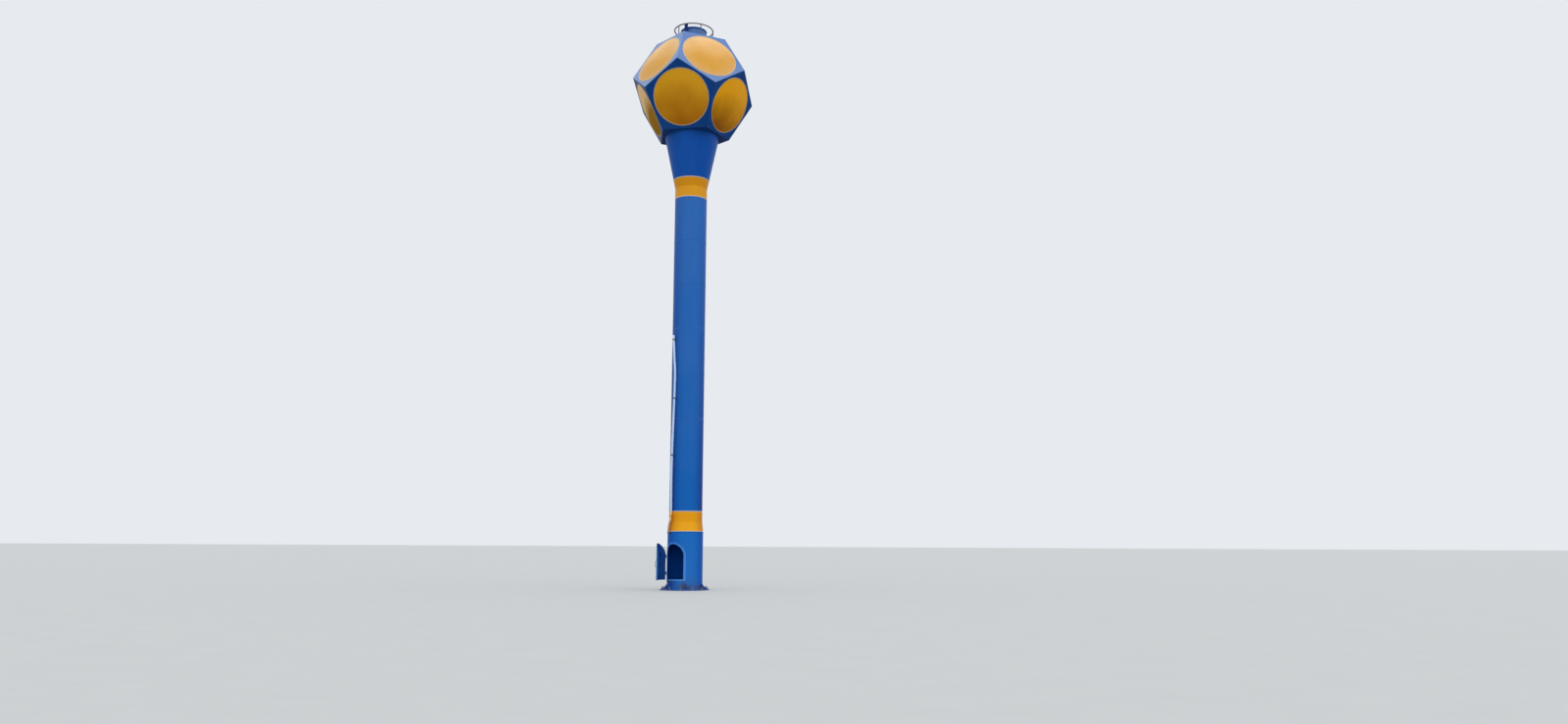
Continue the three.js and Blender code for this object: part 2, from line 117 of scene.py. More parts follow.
class Shade:
    """One output of a node, with operators that add Math nodes to its tree."""

    def __init__(self, bench: "NodeBench", socket: bpy.types.NodeSocket) -> None:
        """Keeps the socket and the bench that made it."""
        self.bench = bench
        self.socket = socket

    def _math(self, operation: str, *values: "Shade | float") -> "Shade":
        """Adds a Math node on the given values."""
        return self.bench.node("ShaderNodeMath", {"operation": operation}, dict(enumerate(values)))

    def __add__(self, other: "Shade | float") -> "Shade":
        """Adds a value."""
        return self._math("ADD", self, other)

    __radd__ = __add__

    def __sub__(self, other: "Shade | float") -> "Shade":
        """Takes a value away."""
        return self._math("SUBTRACT", self, other)

    def __rsub__(self, other: "Shade | float") -> "Shade":
        """Is taken away from a value."""
        return self._math("SUBTRACT", other, self)

    def __mul__(self, other: "Shade | float") -> "Shade":
        """Multiplies by a value."""
        return self._math("MULTIPLY", self, other)

    __rmul__ = __mul__

    def __truediv__(self, other: "Shade | float") -> "Shade":
        """Divides by a value."""
        return self._math("DIVIDE", self, other)

    def wrapped(self, step: float) -> "Shade":
        """Returns the remainder after whole steps."""
        return self._math("FLOORED_MODULO", self, step)

    def distance(self, other: "Shade | float") -> "Shade":
        """Returns how far the value is from another one, without a sign."""
        difference = self - other
        return difference._math("ABSOLUTE", difference)

    def clamped(self) -> "Shade":
        """Returns the value kept between 0 and 1."""
        return self.bench.node("ShaderNodeClamp", inputs={0: self})

    def ramp(self, low: float, high: float) -> "Shade":
        """Goes smoothly from 0 at a low value to 1 at a high one, or down if low is above high.

        Args:
            low: Where the result is 0.
            high: Where the result is 1.

        Returns:
            The smooth step as a value from 0 to 1.
        """
        if low > high:
            return 1 - self.ramp(high, low)
        settings = {"interpolation_type": "SMOOTHSTEP"}
        return self.bench.node("ShaderNodeMapRange", settings, {0: self, 1: low, 2: high, 3: 0.0, 4: 1.0})


class NodeBench:
    """Adds nodes to one tree and hands back their outputs."""

    def __init__(self, tree: bpy.types.NodeTree) -> None:
        """Starts on an empty tree."""
        self.tree = tree
        self.tree.nodes.clear()

    def node(
        self,
        kind: str,
        settings: dict[str, object] | None = None,
        inputs: dict[str | int, object] | None = None,
        output: int | str = 0,
    ) -> Shade:
        """Adds one node.

        Args:
            kind: The node's type.
            settings: Its properties, which are set first.
            inputs: A value or a Shade for each socket, by name or index.
            output: Which output is wanted.

        Returns:
            That output.
        """
        made = self.tree.nodes.new(kind)
        for name, value in (settings or {}).items():
            setattr(made, name, value)
        for key, value in (inputs or {}).items():
            if isinstance(value, Shade):
                self.tree.links.new(value.socket, made.inputs[key])
            else:
                made.inputs[key].default_value = value
        return Shade(self, made.outputs[output] if made.outputs else None)

    def place(self) -> Shade:
        """Returns the Object coordinates."""
        return self.node("ShaderNodeTexCoord", output="Object")

    def height(self) -> Shade:
        """Returns the height above the ground."""
        return self.node("ShaderNodeSeparateXYZ", inputs={0: self.place()}, output="Z")

    def vector_value(self, operation: str, first: Shade, second: Sequence[float]) -> Shade:
        """Returns the number that a Vector Math operation makes of two vectors."""
        settings = {"operation": operation}
        return self.node("ShaderNodeVectorMath", settings, {0: first, 1: second}, output="Value")

    def towards(self, azimuth: float) -> Shade:
        """Returns how far a point lies from the axis towards an azimuth."""
        return self.vector_value("DOT_PRODUCT", self.place(), at_azimuth(1.0, azimuth))

    def noise(self, scale: Triple, detail: float = 3.0, shift: float = 0.0) -> Shade:
        """Adds a cloud noise on the Object coordinates.

        Args:
            scale: Waves in a metre along X, Y and Z.
            detail: Octaves of finer noise.
            shift: Moves the pattern, so that two noises differ.

        Returns:
            The noise, mostly from 0.25 to 0.75.
        """
        inputs = {"Vector": self.place(), "Location": (shift, shift, shift), "Scale": scale}
        mapped = self.node("ShaderNodeMapping", inputs=inputs)
        return self.node("ShaderNodeTexNoise", inputs={"Vector": mapped, "Scale": 1.0, "Detail": detail})

    def mix(self, factor: Shade | float, first: Shade | Colour, second: Shade | Colour) -> Shade:
        """Mixes two colours.

        Args:
            factor: 0 for the first colour, 1 for the second.
            first: A colour or an output.
            second: A colour or an output.

        Returns:
            The mixed colour.
        """
        colours = [c if isinstance(c, Shade) else (*c, 1.0) for c in (first, second)]
        settings = {"data_type": "RGBA"}
        return self.node("ShaderNodeMix", settings, {0: factor, 6: colours[0], 7: colours[1]}, output=2)

    def tinted(self, colour: Shade, brightness: Shade) -> Shade:
        """Scales a colour by a brightness."""
        settings = {"operation": "SCALE"}
        return self.node("ShaderNodeVectorMath", settings, {0: colour, "Scale": brightness})


@dataclass(frozen=True)
class Surface:
    """What a finish gives to its shader.

    Attributes:
        colour: Base colour.
        roughness: Roughness over the surface.
        relief: Height of the relief in metres.
        metallic: 0 for paint and plastic, 1 for bare metal.
        specular: Strength of the mirror-like reflection.
        coat: Weight of a clear coat over the surface, if it has one.
        coat_roughness: Roughness of that coat.
    """

    colour: Shade
    roughness: Shade
    relief: Shade
    metallic: float = 0.0
    specular: float = 0.08
    coat: Shade | None = None
    coat_roughness: float = 0.35


class Finish:
    """A procedural material, made once for all the pieces that share it."""

    made: dict[str, bpy.types.Material] = {}
    name: str

    def surface(self, bench: NodeBench) -> Surface:
        """Lays out the finish's own nodes."""
        raise NotImplementedError

    def material(self) -> bpy.types.Material:
        """Returns the material, built at the first call."""
        if self.name not in Finish.made:
            material = bpy.data.materials.new(self.name)
            material.use_nodes = True
            bench = NodeBench(material.node_tree)
            surface = self.surface(bench)
            relief = {"Strength": 1.0, "Distance": 1.0, "Height": surface.relief}
            inputs = {
                "Base Color": surface.colour,
                "Roughness": surface.roughness,
                "Metallic": surface.metallic,
                "Specular IOR Level": surface.specular,
                "Normal": bench.node("ShaderNodeBump", inputs=relief),
            }
            if surface.coat:
                inputs |= {"Coat Weight": surface.coat, "Coat Roughness": surface.coat_roughness}
            shader = bench.node("ShaderNodeBsdfPrincipled", inputs=inputs)
            bench.node("ShaderNodeOutputMaterial", inputs={"Surface": shader})
            Finish.made[self.name] = material
        return Finish.made[self.name]


@dataclass(frozen=True)
class Enamel(Finish):
    """Old brushed enamel on steel: it fades in patches, runs in streaks and stains at the welds, and it can
    carry painted light and shade by height and by side.

    Attributes:
        name: The material's name.
        fresh_and_shaded: Colour where the paint is sound, and the darker end of the painted shade by height.
        faded_and_lit: Colour where sun and rain have worn it, and the lighter end of the painted light by
            height.
        stain: Colour of grime and rust water.
        fading: How much of the surface is faded, from 0 to 1.
        streaks: How strongly rain has drawn vertical streaks.
        staining: How much grime shows.
        gloss: Roughness of clean paint.
        first_weld: Height of the lowest weld that stains the paint, or 0 for none.
        weld_step: Height from one such weld to the next.
        splash_height: How high dirt from the ground reaches.
        lit_top: Height above which the paint takes its lightest colour as painted light, or 0 for none.
        shaded_bottom: Height below which the paint takes its darkest colour as painted shade.
        side_shade_radius: Radius of the round wall that gets painted shade on its sides, or 0 for none.
        side_shade: Colour of that painted shade, at the foot.
        side_shade_top: Height at which that painted shade has died away.
        sky_sheen: How much clear coat there is, growing with the painted light by height, or 0 for an even
            gloss.
        rim_dust: How much dust lies on a disc near its rim, from 0 to 1.
        dust: Colour of that dust.
        middle: Middle of that disc.
    """

    name: str
    fresh_and_shaded: Colour
    faded_and_lit: Colour
    stain: Colour
    fading: float = 0.5
    streaks: float = 0.16
    staining: float = 0.3
    gloss: float = 0.3
    first_weld: float = 0.0
    weld_step: float = 1.0
    splash_height: float = 0.0
    lit_top: float = 0.0
    shaded_bottom: float = 0.0
    side_shade_radius: float = 0.0
    side_shade: Colour = (0.0, 0.0, 0.0)
    side_shade_top: float = 13.0
    sky_sheen: float = 0.0
    rim_dust: float = 0.0
    dust: Colour = (0.68, 0.56, 0.43)
    middle: Triple = (0.0, 0.0, 0.0)

    def surface(self, bench: NodeBench) -> Surface:
        """Lays out patches, streaks, stains, the brushed relief, and painted light and shade by height and by
        side.

        Args:
            bench: Where the nodes go.

        Returns:
            The finished surface.
        """
        patches = bench.noise((0.9, 0.9, 0.55), detail=4.0).ramp(0.36, 0.68)
        drawn = bench.noise((14.0, 14.0, 0.5), detail=3.0, shift=3.0)
        runs = bench.noise((34.0, 34.0, 1.3), detail=2.0, shift=9.0).ramp(0.52, 0.72)
        specks = bench.noise((55.0, 55.0, 40.0), detail=2.0, shift=5.0).ramp(0.66, 0.74)
        faded_and_lit = patches * self.fading
        # Painted light and shade by height: the paint is drawn darker towards the bottom and lighter towards
        # the top.
        if self.lit_top:
            lit_share = (bench.height() - self.shaded_bottom) / (self.lit_top - self.shaded_bottom)
            faded_and_lit = faded_and_lit * 0.3 + (lit_share + (patches - 0.5) * 0.25).clamped()
        colour = bench.mix(faded_and_lit, self.fresh_and_shaded, self.faded_and_lit)
        # Painted shade: the sides turned from the lit side are drawn darker, most of all at the foot.
        if self.side_shade_radius:
            shaded_side = 1 - (bench.towards(LIT_SIDE) / self.side_shade_radius).ramp(0.5, 1.0)
            low = 1 - bench.height() / self.side_shade_top
            colour = bench.mix((shaded_side * low).clamped() * 1.1, colour, self.side_shade)
        if self.rim_dust:
            outer = bench.vector_value("DISTANCE", bench.place(), self.middle).ramp(0.45, 0.78)
            colour = bench.mix(outer * (patches * 0.4 + 0.8) * self.rim_dust, colour, self.dust)
        grime = bench.noise((2.6, 2.6, 1.2), detail=5.0, shift=7.0).ramp(0.5, 0.8) * runs * self.staining
        if self.first_weld:
            colour, grime = self._weld_marks(bench, colour, grime, runs)
        if self.splash_height:
            low = bench.height().ramp(self.splash_height, 0.0)
            grime = grime + low * bench.noise((6.0, 6.0, 6.0), detail=5.0).ramp(0.3, 0.7) * 0.75
        grime = (grime + specks * self.staining * 0.5).ramp(0.0, 1.0)
        colour = bench.mix(grime, colour, self.stain)
        colour = bench.tinted(colour, 1.0 + (drawn - 0.5) * self.streaks)
        brushed = bench.noise((160.0, 160.0, 20.0), detail=2.0, shift=11.0)
        waves = bench.noise((1.6, 1.6, 1.1), detail=1.0, shift=2.0)
        relief = brushed * 0.00008 + waves * 0.004
        roughness = self.gloss + drawn * 0.12 + patches * 0.06 + grime * 0.4
        # The clear coat grows with the painted light by height.
        if self.sky_sheen:
            return Surface(colour, roughness, relief, specular=0.0, coat=lit_share.clamped() * self.sky_sheen)
        return Surface(colour, roughness, relief)

    def _weld_marks(
        self, bench: NodeBench, colour: Shade, grime: Shade, runs: Shade
    ) -> tuple[Shade, Shade]:
        """Adds a paler strip along each weld and thin runs below it.

        Args:
            bench: Where the nodes go.
            colour: The paint so far.
            grime: The grime so far.
            runs: The mask of thin vertical runs.

        Returns:
            The new colour and grime.
        """
        half = self.weld_step / 2
        above = (bench.height() - self.first_weld + half).wrapped(self.weld_step) - half
        near = above.distance(0.0).ramp(0.05, 0.012)
        uneven = bench.noise((2.2, 2.2, 0.8), detail=2.0, shift=13.0).ramp(0.42, 0.62)
        colour = bench.mix(near * uneven * 0.6, colour, self.faded_and_lit)
        below = above.ramp(-0.32, 0.0) * above.ramp(0.012, 0.0)
        return colour, grime + below * runs * self.staining


@dataclass(frozen=True)
class Plastic(Finish):
    """Pale plastic pipe, chalky from the sun, with grime in runs and its foot painted over, that paint drawn
    darker at the very foot as painted shade.

    Attributes:
        name: The material's name.
        clean: Colour of the bare plastic.
        grimy: Colour of the grime.
        overpaint: Colour of the paint brushed over its lowest stretch.
        foot: Darker colour of the same paint below shaded_overpaint_top: painted shade.
        overpaint_top: Height that the paint reaches.
        shaded_overpaint_top: Height below which the overpaint takes that painted shade.
    """

    name: str
    clean: Colour
    grimy: Colour
    overpaint: Colour
    foot: Colour
    overpaint_top: float
    shaded_overpaint_top: float

    def surface(self, bench: NodeBench) -> Surface:
        """Lays out chalky patches and runs of grime along the pipe.

        Args:
            bench: Where the nodes go.

        Returns:
            The finished surface.
        """
        runs = bench.noise((40.0, 40.0, 2.0), detail=3.0).ramp(0.45, 0.75)
        colour = bench.mix(runs * 0.45, self.clean, self.grimy)
        edge, foot = self.overpaint_top, self.shaded_overpaint_top
        brushed = (bench.height() + runs * 0.02).ramp(edge + 0.015, edge - 0.015)
        # Painted shade: below that height the overpaint turns darker.
        paint = bench.mix(bench.height().ramp(foot - 0.08, foot + 0.08), self.foot, self.overpaint)
        colour = bench.mix(brushed * 0.9, colour, paint)
        relief = bench.noise((60.0, 60.0, 25.0), detail=2.0) * 0.0001
        return Surface(colour, 0.42 + runs * 0.2, relief)


@dataclass(frozen=True)
class WeatheredSteel(Finish):
    """Old paint on steel sections, worn to dull metal and rust in places."""

    name: str
    paint: Colour
    worn: Colour
    rust: Colour

    def surface(self, bench: NodeBench) -> Surface:
        """Lays out worn patches and rust spots.

        Args:
            bench: Where the nodes go.

        Returns:
            The finished surface.
        """
        worn = bench.noise((18.0, 18.0, 18.0), detail=4.0).ramp(0.5, 0.68)
        spots = bench.noise((45.0, 45.0, 45.0), detail=5.0, shift=4.0).ramp(0.58, 0.7)
        colour = bench.mix(spots * 0.7, bench.mix(worn * 0.6, self.paint, self.worn), self.rust)
        relief = spots * 0.0003 + bench.noise((120.0, 120.0, 120.0), detail=3.0) * 0.0002
        return Surface(colour, 0.45 + spots * 0.35, relief, metallic=0.25)


GRIME = (0.08, 0.075, 0.07)
DARK_GRIME = (0.05, 0.05, 0.06)
RUST_WATER = (0.16, 0.07, 0.06)
# Shaft: drawn lighter towards the top, darker at the foot and darker on the sides turned from the lit side,
# as painted light and shade.
SHAFT_BLUE = Enamel(
    "shaft_blue_enamel",
    (0.005, 0.126, 0.48),
    (0.029, 0.150, 0.50),
    GRIME,
    first_weld=LOWER_BAND_TOP,
    weld_step=1.21257,
    lit_top=11.5,
    shaded_bottom=1.0,
    side_shade_radius=SHAFT_RADIUS,
    side_shade=(0.001, 0.040, 0.28),
)
# Base: drawn darker on the sides turned from the lit side, as painted shade; the splash at the foot is dirt.
BASE_BLUE = Enamel(
    "base_blue_enamel",
    (0.010, 0.154, 0.54),
    (0.026, 0.172, 0.57),
    GRIME,
    staining=0.5,
    splash_height=0.55,
    side_shade_radius=BASE_RADIUS,
    side_shade=(0.002, 0.095, 0.45),
)
# Paler blue over the doorway frame: a painted highlight for the light that its arch catches.
FRAME_HIGHLIGHT_BLUE = Enamel(
    "doorway_frame_highlight_blue_enamel", (0.055, 0.215, 0.64), (0.09, 0.285, 0.76), GRIME, staining=0.4
)
# Darker blue for the flare that faces down under the tank: painted shade.
SHADED_FLARE_BLUE = Enamel("shaded_flare_blue_enamel", (0.002, 0.080, 0.41), (0.012, 0.105, 0.45), (0.09, 0.07, 0.08))
# Tank blues: a dark copy for the lower panels that face down, as painted shade, and light copies for the
# upper panels and the top, as painted light; the upper panels on the left take the lightest.
SHADED_TANK_BLUE = Enamel("shaded_tank_blue_enamel", (0.004, 0.055, 0.25), (0.012, 0.075, 0.29), RUST_WATER)
LIT_TANK_BLUE = Enamel("lit_tank_blue_enamel", (0.12, 0.22, 0.48), (0.21, 0.31, 0.54), (0.10, 0.12, 0.2))
LIGHTEST_LIT_BLUE = replace(
    LIT_TANK_BLUE, name="lightest_lit_blue_enamel", fresh_and_shaded=(0.19, 0.29, 0.535), faded_and_lit=(0.29, 0.39, 0.60)
)
NECK_BLUE = Enamel("dusty_neck_blue_enamel", (0.095, 0.195, 0.45), (0.14, 0.25, 0.50), GRIME)
DARK_BLUE = Enamel("dark_blue_enamel", (0.012, 0.065, 0.28), (0.03, 0.10, 0.33), DARK_GRIME, gloss=0.4)
NAVY = Enamel("navy_enamel", (0.010, 0.030, 0.14), (0.03, 0.05, 0.18), DARK_GRIME, gloss=0.45)
# Band yellow: drawn darker on the sides turned from the lit side, as painted shade.
BAND_YELLOW = Enamel(
    "golden_yellow_enamel",
    (0.86, 0.36, 0.006),
    (0.92, 0.41, 0.014),
    (0.45, 0.17, 0.02),
    streaks=0.14,
    side_shade_radius=SHAFT_RADIUS,
    side_shade=(0.66, 0.235, 0.004),
)
# Lighter copy for the taper that faces up: painted light.
LIT_TAPER_YELLOW = replace(
    BAND_YELLOW, name="lit_taper_yellow_enamel", fresh_and_shaded=(0.90, 0.395, 0.010), faded_and_lit=(0.95, 0.44, 0.02), side_shade_radius=0.45
)
UPPER_YELLOW = replace(
    BAND_YELLOW,
    name="upper_band_yellow_enamel",
    fresh_and_shaded=(0.76, 0.325, 0.010),
    faded_and_lit=(0.85, 0.38, 0.024),
    side_shade_radius=0.0,
)
# Darker copy for the cone that faces down under the flare: painted shade.
SHADED_CONE_YELLOW = replace(
    BAND_YELLOW, name="shaded_cone_yellow_enamel", fresh_and_shaded=(0.72, 0.28, 0.005), faded_and_lit=(0.80, 0.33, 0.012), side_shade_radius=0.0
)
# Lower discs: drawn darker towards the bottom and lighter towards the top, as painted shade and light.
SHADED_YELLOW = Enamel(
    "shaded_disc_yellow_enamel",
    (0.46, 0.130, 0.001),
    (0.82, 0.385, 0.015),
    (0.36, 0.11, 0.01),
    streaks=0.12,
    staining=0.2,
    lit_top=13.45,
    shaded_bottom=12.40,
)
# Right lower disc: a copy with a lighter top and a darker foot, as painted light and shade.
RIGHT_YELLOW = replace(
    SHADED_YELLOW,
    name="right_disc_yellow_enamel",
    fresh_and_shaded=(0.34, 0.105, 0.001),
    faded_and_lit=(0.97, 0.42, 0.004),
    lit_top=13.25,
)
# Left lower disc: its pale upper part is a painted reflection of the sky, and the clear coat lies there too.
LEFT_YELLOW = replace(
    SHADED_YELLOW,
    name="left_disc_yellow_enamel",
    fresh_and_shaded=(0.45, 0.210, 0.020),
    faded_and_lit=(1.0, 0.61, 0.21),
    lit_top=13.27,
    shaded_bottom=12.88,
    sky_sheen=0.5,
)
# Upper discs: lighter copies for the discs that face up, drawn lighter towards the top, as painted light; the
# dust at the rim is dirt.
LIT_DISC_YELLOW = Enamel(
    "lit_disc_yellow_enamel",
    (0.68, 0.325, 0.035),
    (0.90, 0.54, 0.24),
    (0.60, 0.26, 0.06),
    streaks=0.1,
    staining=0.2,
    lit_top=14.90,
    shaded_bottom=14.15,
    rim_dust=0.14,
)
DUSTED_LIT_YELLOW = replace(
    LIT_DISC_YELLOW,
    name="dusted_lit_yellow_enamel",
    fresh_and_shaded=(0.69, 0.335, 0.045),
    faded_and_lit=(0.88, 0.53, 0.22),
    rim_dust=0.26,
)
PALE_LINE = Enamel("pale_edge_line", (0.60, 0.47, 0.38), (0.70, 0.58, 0.50), (0.50, 0.36, 0.26), streaks=0.1)
# Darker rim paint for the lower discs as painted shade, lighter for the upper discs as painted light.
SHADED_LINE = replace(PALE_LINE, name="shaded_edge_line", fresh_and_shaded=(0.50, 0.38, 0.31), faded_and_lit=(0.60, 0.48, 0.44))
LIT_LINE = replace(PALE_LINE, name="lit_edge_line", fresh_and_shaded=(0.68, 0.50, 0.33), faded_and_lit=(0.76, 0.58, 0.42))
# The overpaint at the pipe's foot is drawn darker as painted shade.
PALE_PIPE = Plastic(
    "pale_pipe_plastic",
    clean=(0.62, 0.78, 1.0),
    grimy=(0.42, 0.50, 0.60),
    overpaint=(0.95, 0.60, 0.28),
    foot=(0.50, 0.26, 0.10),
    overpaint_top=LOWER_BAND_TOP,
    shaded_overpaint_top=1.78,
)
DARK_STEEL = WeatheredSteel(
    "dark_weathered_steel", (0.15, 0.15, 0.20), (0.30, 0.29, 0.32), (0.16, 0.08, 0.05)
)


class Blank:
    """Points and faces of one piece, gathered before they become a mesh."""

    def __init__(self) -> None:
        """Starts with nothing."""
        self.points: list[Vector] = []
        self.faces: list[tuple[int, ...]] = []
        self.paints: list[int] = []
        self.paint = 0

    def _add_face(self, corners: Iterable[int], paint: int) -> None:
        """Adds one face in a paint."""
        self.faces.append(tuple(corners))
        self.paints.append(paint)

    def loft(
        self, rings: Sequence[Sequence[Vector]], closed: bool = False, paints: Sequence[int] = ()
    ) -> None:
        """Joins rings of equal count with a skin.

        Args:
            rings: The rings in order.
            closed: Whether the last ring joins the first; if not, both ends get a flat face.
            paints: The paint after each point of a ring, if not the current one all round.
        """
        size, first = len(rings[0]), len(self.points)
        painted = paints or [self.paint] * size
        for ring in rings:
            self.points.extend(Vector(point) for point in ring)
        for span in range(len(rings) if closed else len(rings) - 1):
            near = first + span * size
            far = first + (span + 1) % len(rings) * size
            for k in range(size):
                following = (k + 1) % size
                self._add_face((near + k, near + following, far + following, far + k), painted[k])
        if not closed:
            last = first + (len(rings) - 1) * size
            self._add_face(range(first + size - 1, first - 1, -1), self.paint)
            self._add_face(range(last, last + size), self.paint)

    def turn(
        self,
        profile: Sequence[Pair],
        place: Matrix | None = None,
        steps: int = ROUND_STEPS,
        paints: Sequence[int] = (),
    ) -> None:
        """Turns a closed profile round the Z axis.

        Args:
            profile: Radius and height of each corner.
            place: Where the turned shape goes.
            steps: Facets in a full turn.
            paints: The paint after each corner, if not the current one all round.
        """
        moved = place or Matrix()
        azimuths = spread(0.0, TURN, steps)[:-1]
        rings = [[moved @ at_azimuth(radius, azimuth, z) for radius, z in profile] for azimuth in azimuths]
        self.loft(rings, closed=True, paints=paints)

    def prism(
        self, outline: Sequence[Vector], bottom: float, top: float, place: Matrix | None = None
    ) -> None:
        """Raises a flat outline between two heights.

        Args:
            outline: Corners in the XY plane.
            bottom: Lower height.
            top: Upper height.
            place: Where the prism goes.
        """
        moved = place or Matrix()
        self.loft([[moved @ Vector((p.x, p.y, z)) for p in outline] for z in (bottom, top)])

    def bar(self, path: Sequence[Vector], sideways: Vector, radius: float, sides: int = 10) -> None:
        """Bends a round bar along a path that lies in one plane, with mitred corners.

        Args:
            path: The bar's centre line.
            sideways: Unit vector across the path's plane.
            radius: The bar's radius.
            sides: Facets round it.
        """
        spans = [(after - before).normalized() for before, after in zip(path, path[1:])]
        spans = [spans[0], *spans, spans[-1]]
        angles = spread(0.0, math.tau, sides)[:-1]
        rings = []
        for point, before, after in zip(path, spans, spans[1:]):
            along = (before + after).normalized()
            across = along.cross(sideways) / along.dot(after)
            rings.append([point + radius * (math.cos(a) * sideways + math.sin(a) * across) for a in angles])
        self.loft(rings)


def placed(name: str, data: bpy.types.ID) -> bpy.types.Object:
    """Makes an object and links it to the scene.

    Args:
        name: The object's name.
        data: Its mesh or camera.

    Returns:
        The object.
    """
    made = bpy.data.objects.new(name, data)
    bpy.context.scene.collection.objects.link(made)
    return made


def make_piece(name: str, blank: Blank, *finishes: Finish, sharp: float = 32.0) -> bpy.types.Object:
    """Makes an object of a blank.

    Args:
        name: The piece's name.
        blank: Its points and faces.
        finishes: A finish for each paint number used.
        sharp: Edges that bend more than this many degrees are drawn sharp.

    Returns:
        The new object, at the origin.
    """
    mesh = bpy.data.meshes.new(name)
    work = bmesh.new()
    corners = [work.verts.new(point) for point in blank.points]
    for indices, paint in zip(blank.faces, blank.paints):
        work.faces.new([corners[k] for k in indices]).material_index = paint
    bmesh.ops.remove_doubles(work, verts=work.verts, dist=1e-6)
    bmesh.ops.dissolve_degenerate(work, edges=work.edges, dist=1e-7)
    bare = [edge for edge in work.edges if not edge.link_faces]
    bmesh.ops.delete(work, geom=bare, context="EDGES")
    bmesh.ops.recalc_face_normals(work, faces=work.faces)
    work.to_mesh(mesh)
    work.free()
    for finish in finishes:
        mesh.materials.append(finish.material())
    mesh.shade_smooth()
    mesh.set_sharp_from_angle(angle=math.radians(sharp))
    return placed(name, mesh)


def hang(piece: bpy.types.Object, slot: Slot, *nodes: str, body: Body = Body.TOWER) -> None:
    """Rides a finished piece on its body.

    Args:
        piece: The piece, in place.
        slot: The record's slot for the piece; not used.
        nodes: CAD nodes that it stands for.
        body: The body that it moves with.
    """
    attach(piece, body.value)
    if nodes:
        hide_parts(*nodes)
    LOG.info("%s rides on %s, stands for %s", piece.name, body.value, ", ".join(nodes) or "no node")


def hang_turned(
    node: str, profile: Sequence[Pair], slot: Slot, *finishes: Finish, paints: Sequence[int] = ()
) -> None:
    """Turns the round piece that stands for a CAD node, and rides it on the tower.

    Args:
        node: The CAD node.
        profile: Radius and height of each corner.
        slot: The record's slot of the node.
        finishes: A finish for each paint number used.
        paints: The paint after each corner, if not the same all round.
    """
    blank = Blank()
    blank.turn(profile, paints=paints)
    hang(make_piece(f"{node}_round", blank, *finishes), slot, node)


def dress(node: str, finish: Finish) -> None:
    """Gives a CAD node that stays as it is a better material.

    Args:
        node: The CAD node.
        finish: Its finish.
    """
    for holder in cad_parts[node].material_slots:
        holder.material = finish.material()
    LOG.info("%s keeps its CAD shape and gets %s", node, finish.name)


class TreeBench(NodeBench):
    """Builds one Geometry Nodes tree with named inputs."""

    def __init__(self, name: str, inputs: dict[str, str]) -> None:
        """Makes the tree and its interface.

        Args:
            name: The tree's name.
            inputs: Socket type of each named input.
        """
        tree = bpy.data.node_groups.new(name, "GeometryNodeTree")
        tree.interface.new_socket("Geometry", in_out="INPUT", socket_type="NodeSocketGeometry")
        for label, kind in inputs.items():
            tree.interface.new_socket(label, in_out="INPUT", socket_type=kind)
        tree.interface.new_socket("Geometry", in_out="OUTPUT", socket_type="NodeSocketGeometry")
        super().__init__(tree)
        self.entry = self.tree.nodes.new("NodeGroupInput")

    def input(self, label: str) -> Shade:
        """Returns a named input of the tree."""
        return Shade(self, self.entry.outputs[label])

    def close(self, geometry: Shade) -> None:
        """Ends the tree with real, smooth, painted geometry.

        Args:
            geometry: What the tree has made.
        """
        smooth = self.node("GeometryNodeSetShadeSmooth", inputs={0: geometry})
        real = self.node("GeometryNodeRealizeInstances", inputs={0: smooth})
        painted = self.node("GeometryNodeSetMaterial", inputs={0: real, "Material": self.input("Paint")})
        self.node("NodeGroupOutput", inputs={0: painted})


def tube_tree() -> bpy.types.NodeTree:
    """Builds the tree that lays a round bead or pipe along the edges it is given.

    Returns:
        The tree.
    """
    inputs = {
        "Radius": "NodeSocketFloat",
        "Step": "NodeSocketFloat",
        "Ripple": "NodeSocketFloat",
        "Sides": "NodeSocketInt",
        "Seed": "NodeSocketInt",
        "Caps": "NodeSocketBool",
        "Paint": "NodeSocketMaterial",
    }
    bench = TreeBench("tube_along_edges", inputs)
    curve = bench.node("GeometryNodeMeshToCurve", inputs={0: bench.input("Geometry")})
    spacing = {"Curve": curve, "Length": bench.input("Step")}
    stepped = bench.node("GeometryNodeResampleCurve", {"mode": "LENGTH"}, spacing)
    limits = {2: -1.0, 3: 1.0, "Seed": bench.input("Seed")}
    random = bench.node("FunctionNodeRandomValue", {"data_type": "FLOAT"}, limits, output=1)
    outline = {"Resolution": bench.input("Sides"), "Radius": bench.input("Radius")}
    circle = bench.node("GeometryNodeCurvePrimitiveCircle", inputs=outline)
    scale = 1.0 + random * bench.input("Ripple")
    swept = {0: stepped, 1: circle, "Scale": scale, "Fill Caps": bench.input("Caps")}
    bench.close(bench.node("GeometryNodeCurveToMesh", inputs=swept))
    return bench.tree


def ring_tree() -> bpy.types.NodeTree:
    """Builds the tree that repeats a piece round the tower's axis.

    Returns:
        The tree.
    """
    inputs = {"Count": "NodeSocketInt", "First": "NodeSocketFloat", "Paint": "NodeSocketMaterial"}
    bench = TreeBench("repeat_round_axis", inputs)
    count = bench.input("Count")
    points = bench.node("GeometryNodePoints", inputs={"Count": count})
    index = bench.node("GeometryNodeInputIndex")
    angle = bench.input("First") + index * math.tau / count
    rotation = bench.node("ShaderNodeCombineXYZ", inputs={"Z": angle})
    instances = {"Points": points, "Instance": bench.input("Geometry"), "Rotation": rotation}
    bench.close(bench.node("GeometryNodeInstanceOnPoints", inputs=instances))
    return bench.tree


TUBE = tube_tree()
RING = ring_tree()


